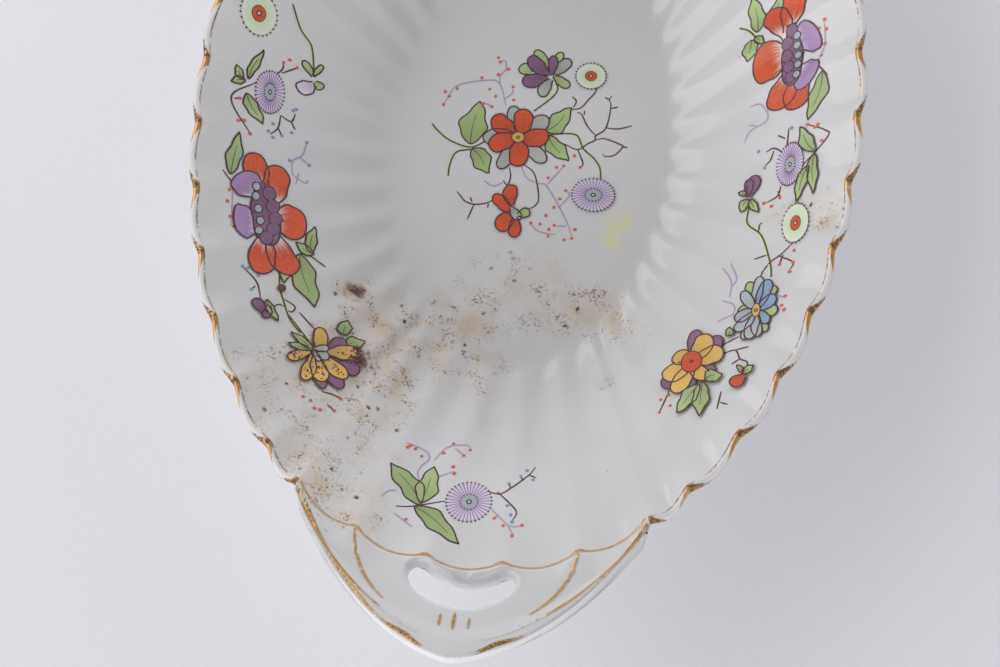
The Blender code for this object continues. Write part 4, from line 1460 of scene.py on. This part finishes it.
def rim_gold_look():
    """Gold on one flank of each cusp and, on the other, brown wear mixed with a painted dark reflection; thin
    lines between cusps.
    """
    look = Look("rim_gilding")
    off_cusp, across, flank = look.tint_parts()
    patchy = look.noise(420.0, 5.0, 0.65)
    crumbs = look.ramp(look.noise(1500.0, 4.0, 0.7), 0.40, 0.56)
    outward = look.ramp(across, 0.02, 0.75)
    far_side = look.ramp(flank, 0.42, 0.58)
    near_side = look.ramp(flank, 0.62, 0.46)
    inner_line = look.ramp(across, 0.11, 0.05)

    gold_patch = cusp_patch(look, off_cusp, outward, 0.20, 0.07, 0.05)
    gold_patch = look.times(gold_patch, look.ramp(patchy, 0.30, 0.44, 0.4, 1.0))
    outer_line = look.times(look.ramp(across, 0.66, 0.74), look.ramp(patchy, 0.36, 0.5, 0.25, 0.9))
    inner_gold = look.times(inner_line, look.ramp(patchy, 0.44, 0.56, 0.0, 0.8))
    gold = look.most(gold_patch, outer_line, inner_gold)

    # painted dark reflection mixed with worn crumbs, over the far flank of each cusp
    worn_and_dark_reflection_patch = look.times(cusp_patch(look, off_cusp, outward, 0.30, 0.04, 0.06), far_side, crumbs)
    dark_line = look.times(inner_line, near_side, 0.8, crumbs)
    return gold_over_glaze(look, gold, look.times(look.most(worn_and_dark_reflection_patch, dark_line), 0.92), 0.75)


def line_gold_look():
    """A painted gilt line, dense at its middle and thin or scratched in places."""
    look = Look("line_gilding")
    strength, across, _ = look.tint_parts()
    centre = look.ramp(look.off_middle(across), 0.5, 0.3)
    wear = look.ramp(look.noise(1400.0, 4.0, 0.6), 0.28, 0.5, 0.25, 1.0)
    gold = look.times(centre, wear, look.ramp(strength, 0.0, 0.7))
    tarnish = look.times(look.ramp(look.noise(900.0, 3.0), 0.58, 0.7), 0.35)
    return gold_over_glaze(look, gold, tarnish, 0.5)


def worn_gold_look():
    """A gilt border rubbed down to streaks, with brown smudges where dirt has gathered."""
    look = Look("worn_gilding")
    strength, across, grime = look.tint_parts()
    bare_below = look.ramp(strength, 0.0, 1.0, 0.66, 0.26)
    whole_above = look.ramp(strength, 0.0, 1.0, 0.84, 0.44)
    kept = look.ramp(look.noise(700.0, 5.0, 0.7), bare_below, whole_above)
    edge = look.ramp(look.off_middle(across), 0.5, 0.28)
    crumbs = look.ramp(look.noise(1900.0, 4.0, 0.7), 0.42, 0.56)
    tarnish = look.times(grime, crumbs, edge, 0.85)
    return gold_over_glaze(look, look.times(kept, edge), tarnish, 0.6)


def enamel_look():
    """Fired printing colours with a fine uneven grain under the glaze."""
    look = Look("enamel")
    grain = look.ramp(look.noise(1800.0, 4.0, 0.6), 0.3, 0.75)
    colour = look.mix(look.times(grain, 0.07), look.tint(), GLAZE)
    return look.finish(colour, look.ramp(grain, 0.0, 1.0, 0.14, 0.26))


def paper_look():
    """The pale sheet under the dish."""
    look = Look("paper")
    look.bump(look.noise(1600.0, 3.0), 0.12, 0.0002)
    return look.finish(look.mix(look.noise(900.0, 4.0), PAPER, PALE_PAPER), 0.85)


# ---------------------------------------------------------------- stage, light and camera


# Stage, lights and camera, in metres and watts
SHEET_REACH = 1.5
LIGHT_AIM = (0.0, -0.02, 0.02)
LOW_PANEL = (0.9, 0.4)
# name, place, size, power, mirrored in the glaze
SOFTBOXES = (
    ("side_key", (-0.59, 0.0, 0.48), (1.5, 0.6), 3.9, True),
    ("low_front", (0.0, -0.74, 0.22), LOW_PANEL, 4.1, True),
    ("back_left", (-0.36, 0.63, 0.22), LOW_PANEL, 1.9, False),
    ("back_right", (0.36, 0.63, 0.22), LOW_PANEL, 2.1, False),
    ("low_right", (0.65, 0.31, 0.22), LOW_PANEL, 1.0, False),
)
CAMERA_PLACE = (0.039353, -0.154273, 0.407438)
CAMERA_RIGHT = (0.99001251, 0.12350058, -0.06799143)
CAMERA_UP = (-0.10032904, 0.95601158, 0.27563736)


def build_stage():
    """A pale sheet for the dish to stand on."""
    mesh = bpy.data.meshes.new("sheet")
    signs = ((-1, -1), (1, -1), (1, 1), (-1, 1))
    corners = [(x * SHEET_REACH, y * SHEET_REACH, 0.0) for x, y in signs]
    mesh.from_pydata(corners, [], [(0, 1, 2, 3)])
    mesh.materials.append(paper_look())
    sheet = bpy.data.objects.new("sheet", mesh)
    bpy.context.scene.collection.objects.link(sheet)


def add_softbox(name, place, size, power, mirrored):
    """A rectangular light that faces the dish; unless mirrored, the glaze doesn't reflect it."""
    light = bpy.data.lights.new(name, "AREA")
    light.shape = "RECTANGLE"
    light.size = size[0]
    light.size_y = size[1]
    light.energy = power
    lamp = bpy.data.objects.new(name, light)
    lamp.location = place
    lamp.visible_glossy = mirrored
    lamp.rotation_euler = (Vector(LIGHT_AIM) - Vector(place)).to_track_quat("-Z", "Y").to_euler()
    bpy.context.scene.collection.objects.link(lamp)


def build_lights():
    """A broad soft light over the left side, four low soft lights round the dish and a dim room."""
    world = bpy.data.worlds.new("room")
    world.use_nodes = True
    bpy.context.scene.world = world
    backdrop = world.node_tree.nodes["Background"]
    backdrop.inputs["Color"].default_value = (0.96, 0.95, 1.0, 1.0)
    backdrop.inputs["Strength"].default_value = 0.28
    for softbox in SOFTBOXES:
        add_softbox(*softbox)


def build_camera():
    """A long lens over the near handle, looking down and slightly along the dish."""
    camera = bpy.data.cameras.new("camera")
    camera.sensor_width = 36.0
    camera.lens = 72.0
    rig = bpy.data.objects.new("camera", camera)
    right = Vector(CAMERA_RIGHT)
    up = Vector(CAMERA_UP)
    turn = Matrix((right, up, right.cross(up))).transposed().to_4x4()
    rig.matrix_world = Matrix.Translation(CAMERA_PLACE) @ turn
    bpy.context.scene.collection.objects.link(rig)
    bpy.context.scene.camera = rig


def main():
    """Build the dish, its gilding and sprays, and the setting."""
    bpy.context.scene.view_settings.view_transform = "Standard"
    porcelain = porcelain_look()
    ends = {"front": Matrix.Identity(4), "back": Matrix.Rotation(math.pi, 4, "Z")}
    body = [build_bowl(porcelain), build_foot_ring(porcelain)]
    for place, end in ends.items():
        body.append(build_handle(f"porcelain_handle_{place}", f"handle_{place}", end, porcelain))
    tree = surface_tree(body)

    line_look = line_gold_look()
    worn_look = worn_gold_look()
    for place, end in ends.items():
        build_handle_gilding(tree, place, end, line_look, worn_look)
    rim = rim_gold_look()
    build_rim_gilding("gilding_rim_right", "rim_gilding_right", 0.0, 1.0, rim)
    build_rim_gilding("gilding_rim_left", "rim_gilding_left", HALF_LAP, -1.0, rim)

    enamel = enamel_look()
    sprays = (
        ("spray_centre", (draw_centre,), False),
        ("spray_front", (draw_end,), False),
        ("spray_back", (draw_end,), True),
        ("spray_left", (draw_left, draw_left_tail, draw_burnt_specks), False),
        ("spray_right", (draw_right, draw_right_tail), False),
        ("spray_far_left", (draw_right_tail,), True),
        ("spray_far_right", (draw_left_tail,), True),
    )
    for name, drawings, turned in sprays:
        spray = Spray(turned)
        for draw in drawings:
            draw(spray)
        spray.build(name, tree, enamel)

    build_stage()
    build_lights()
    build_camera()


main()
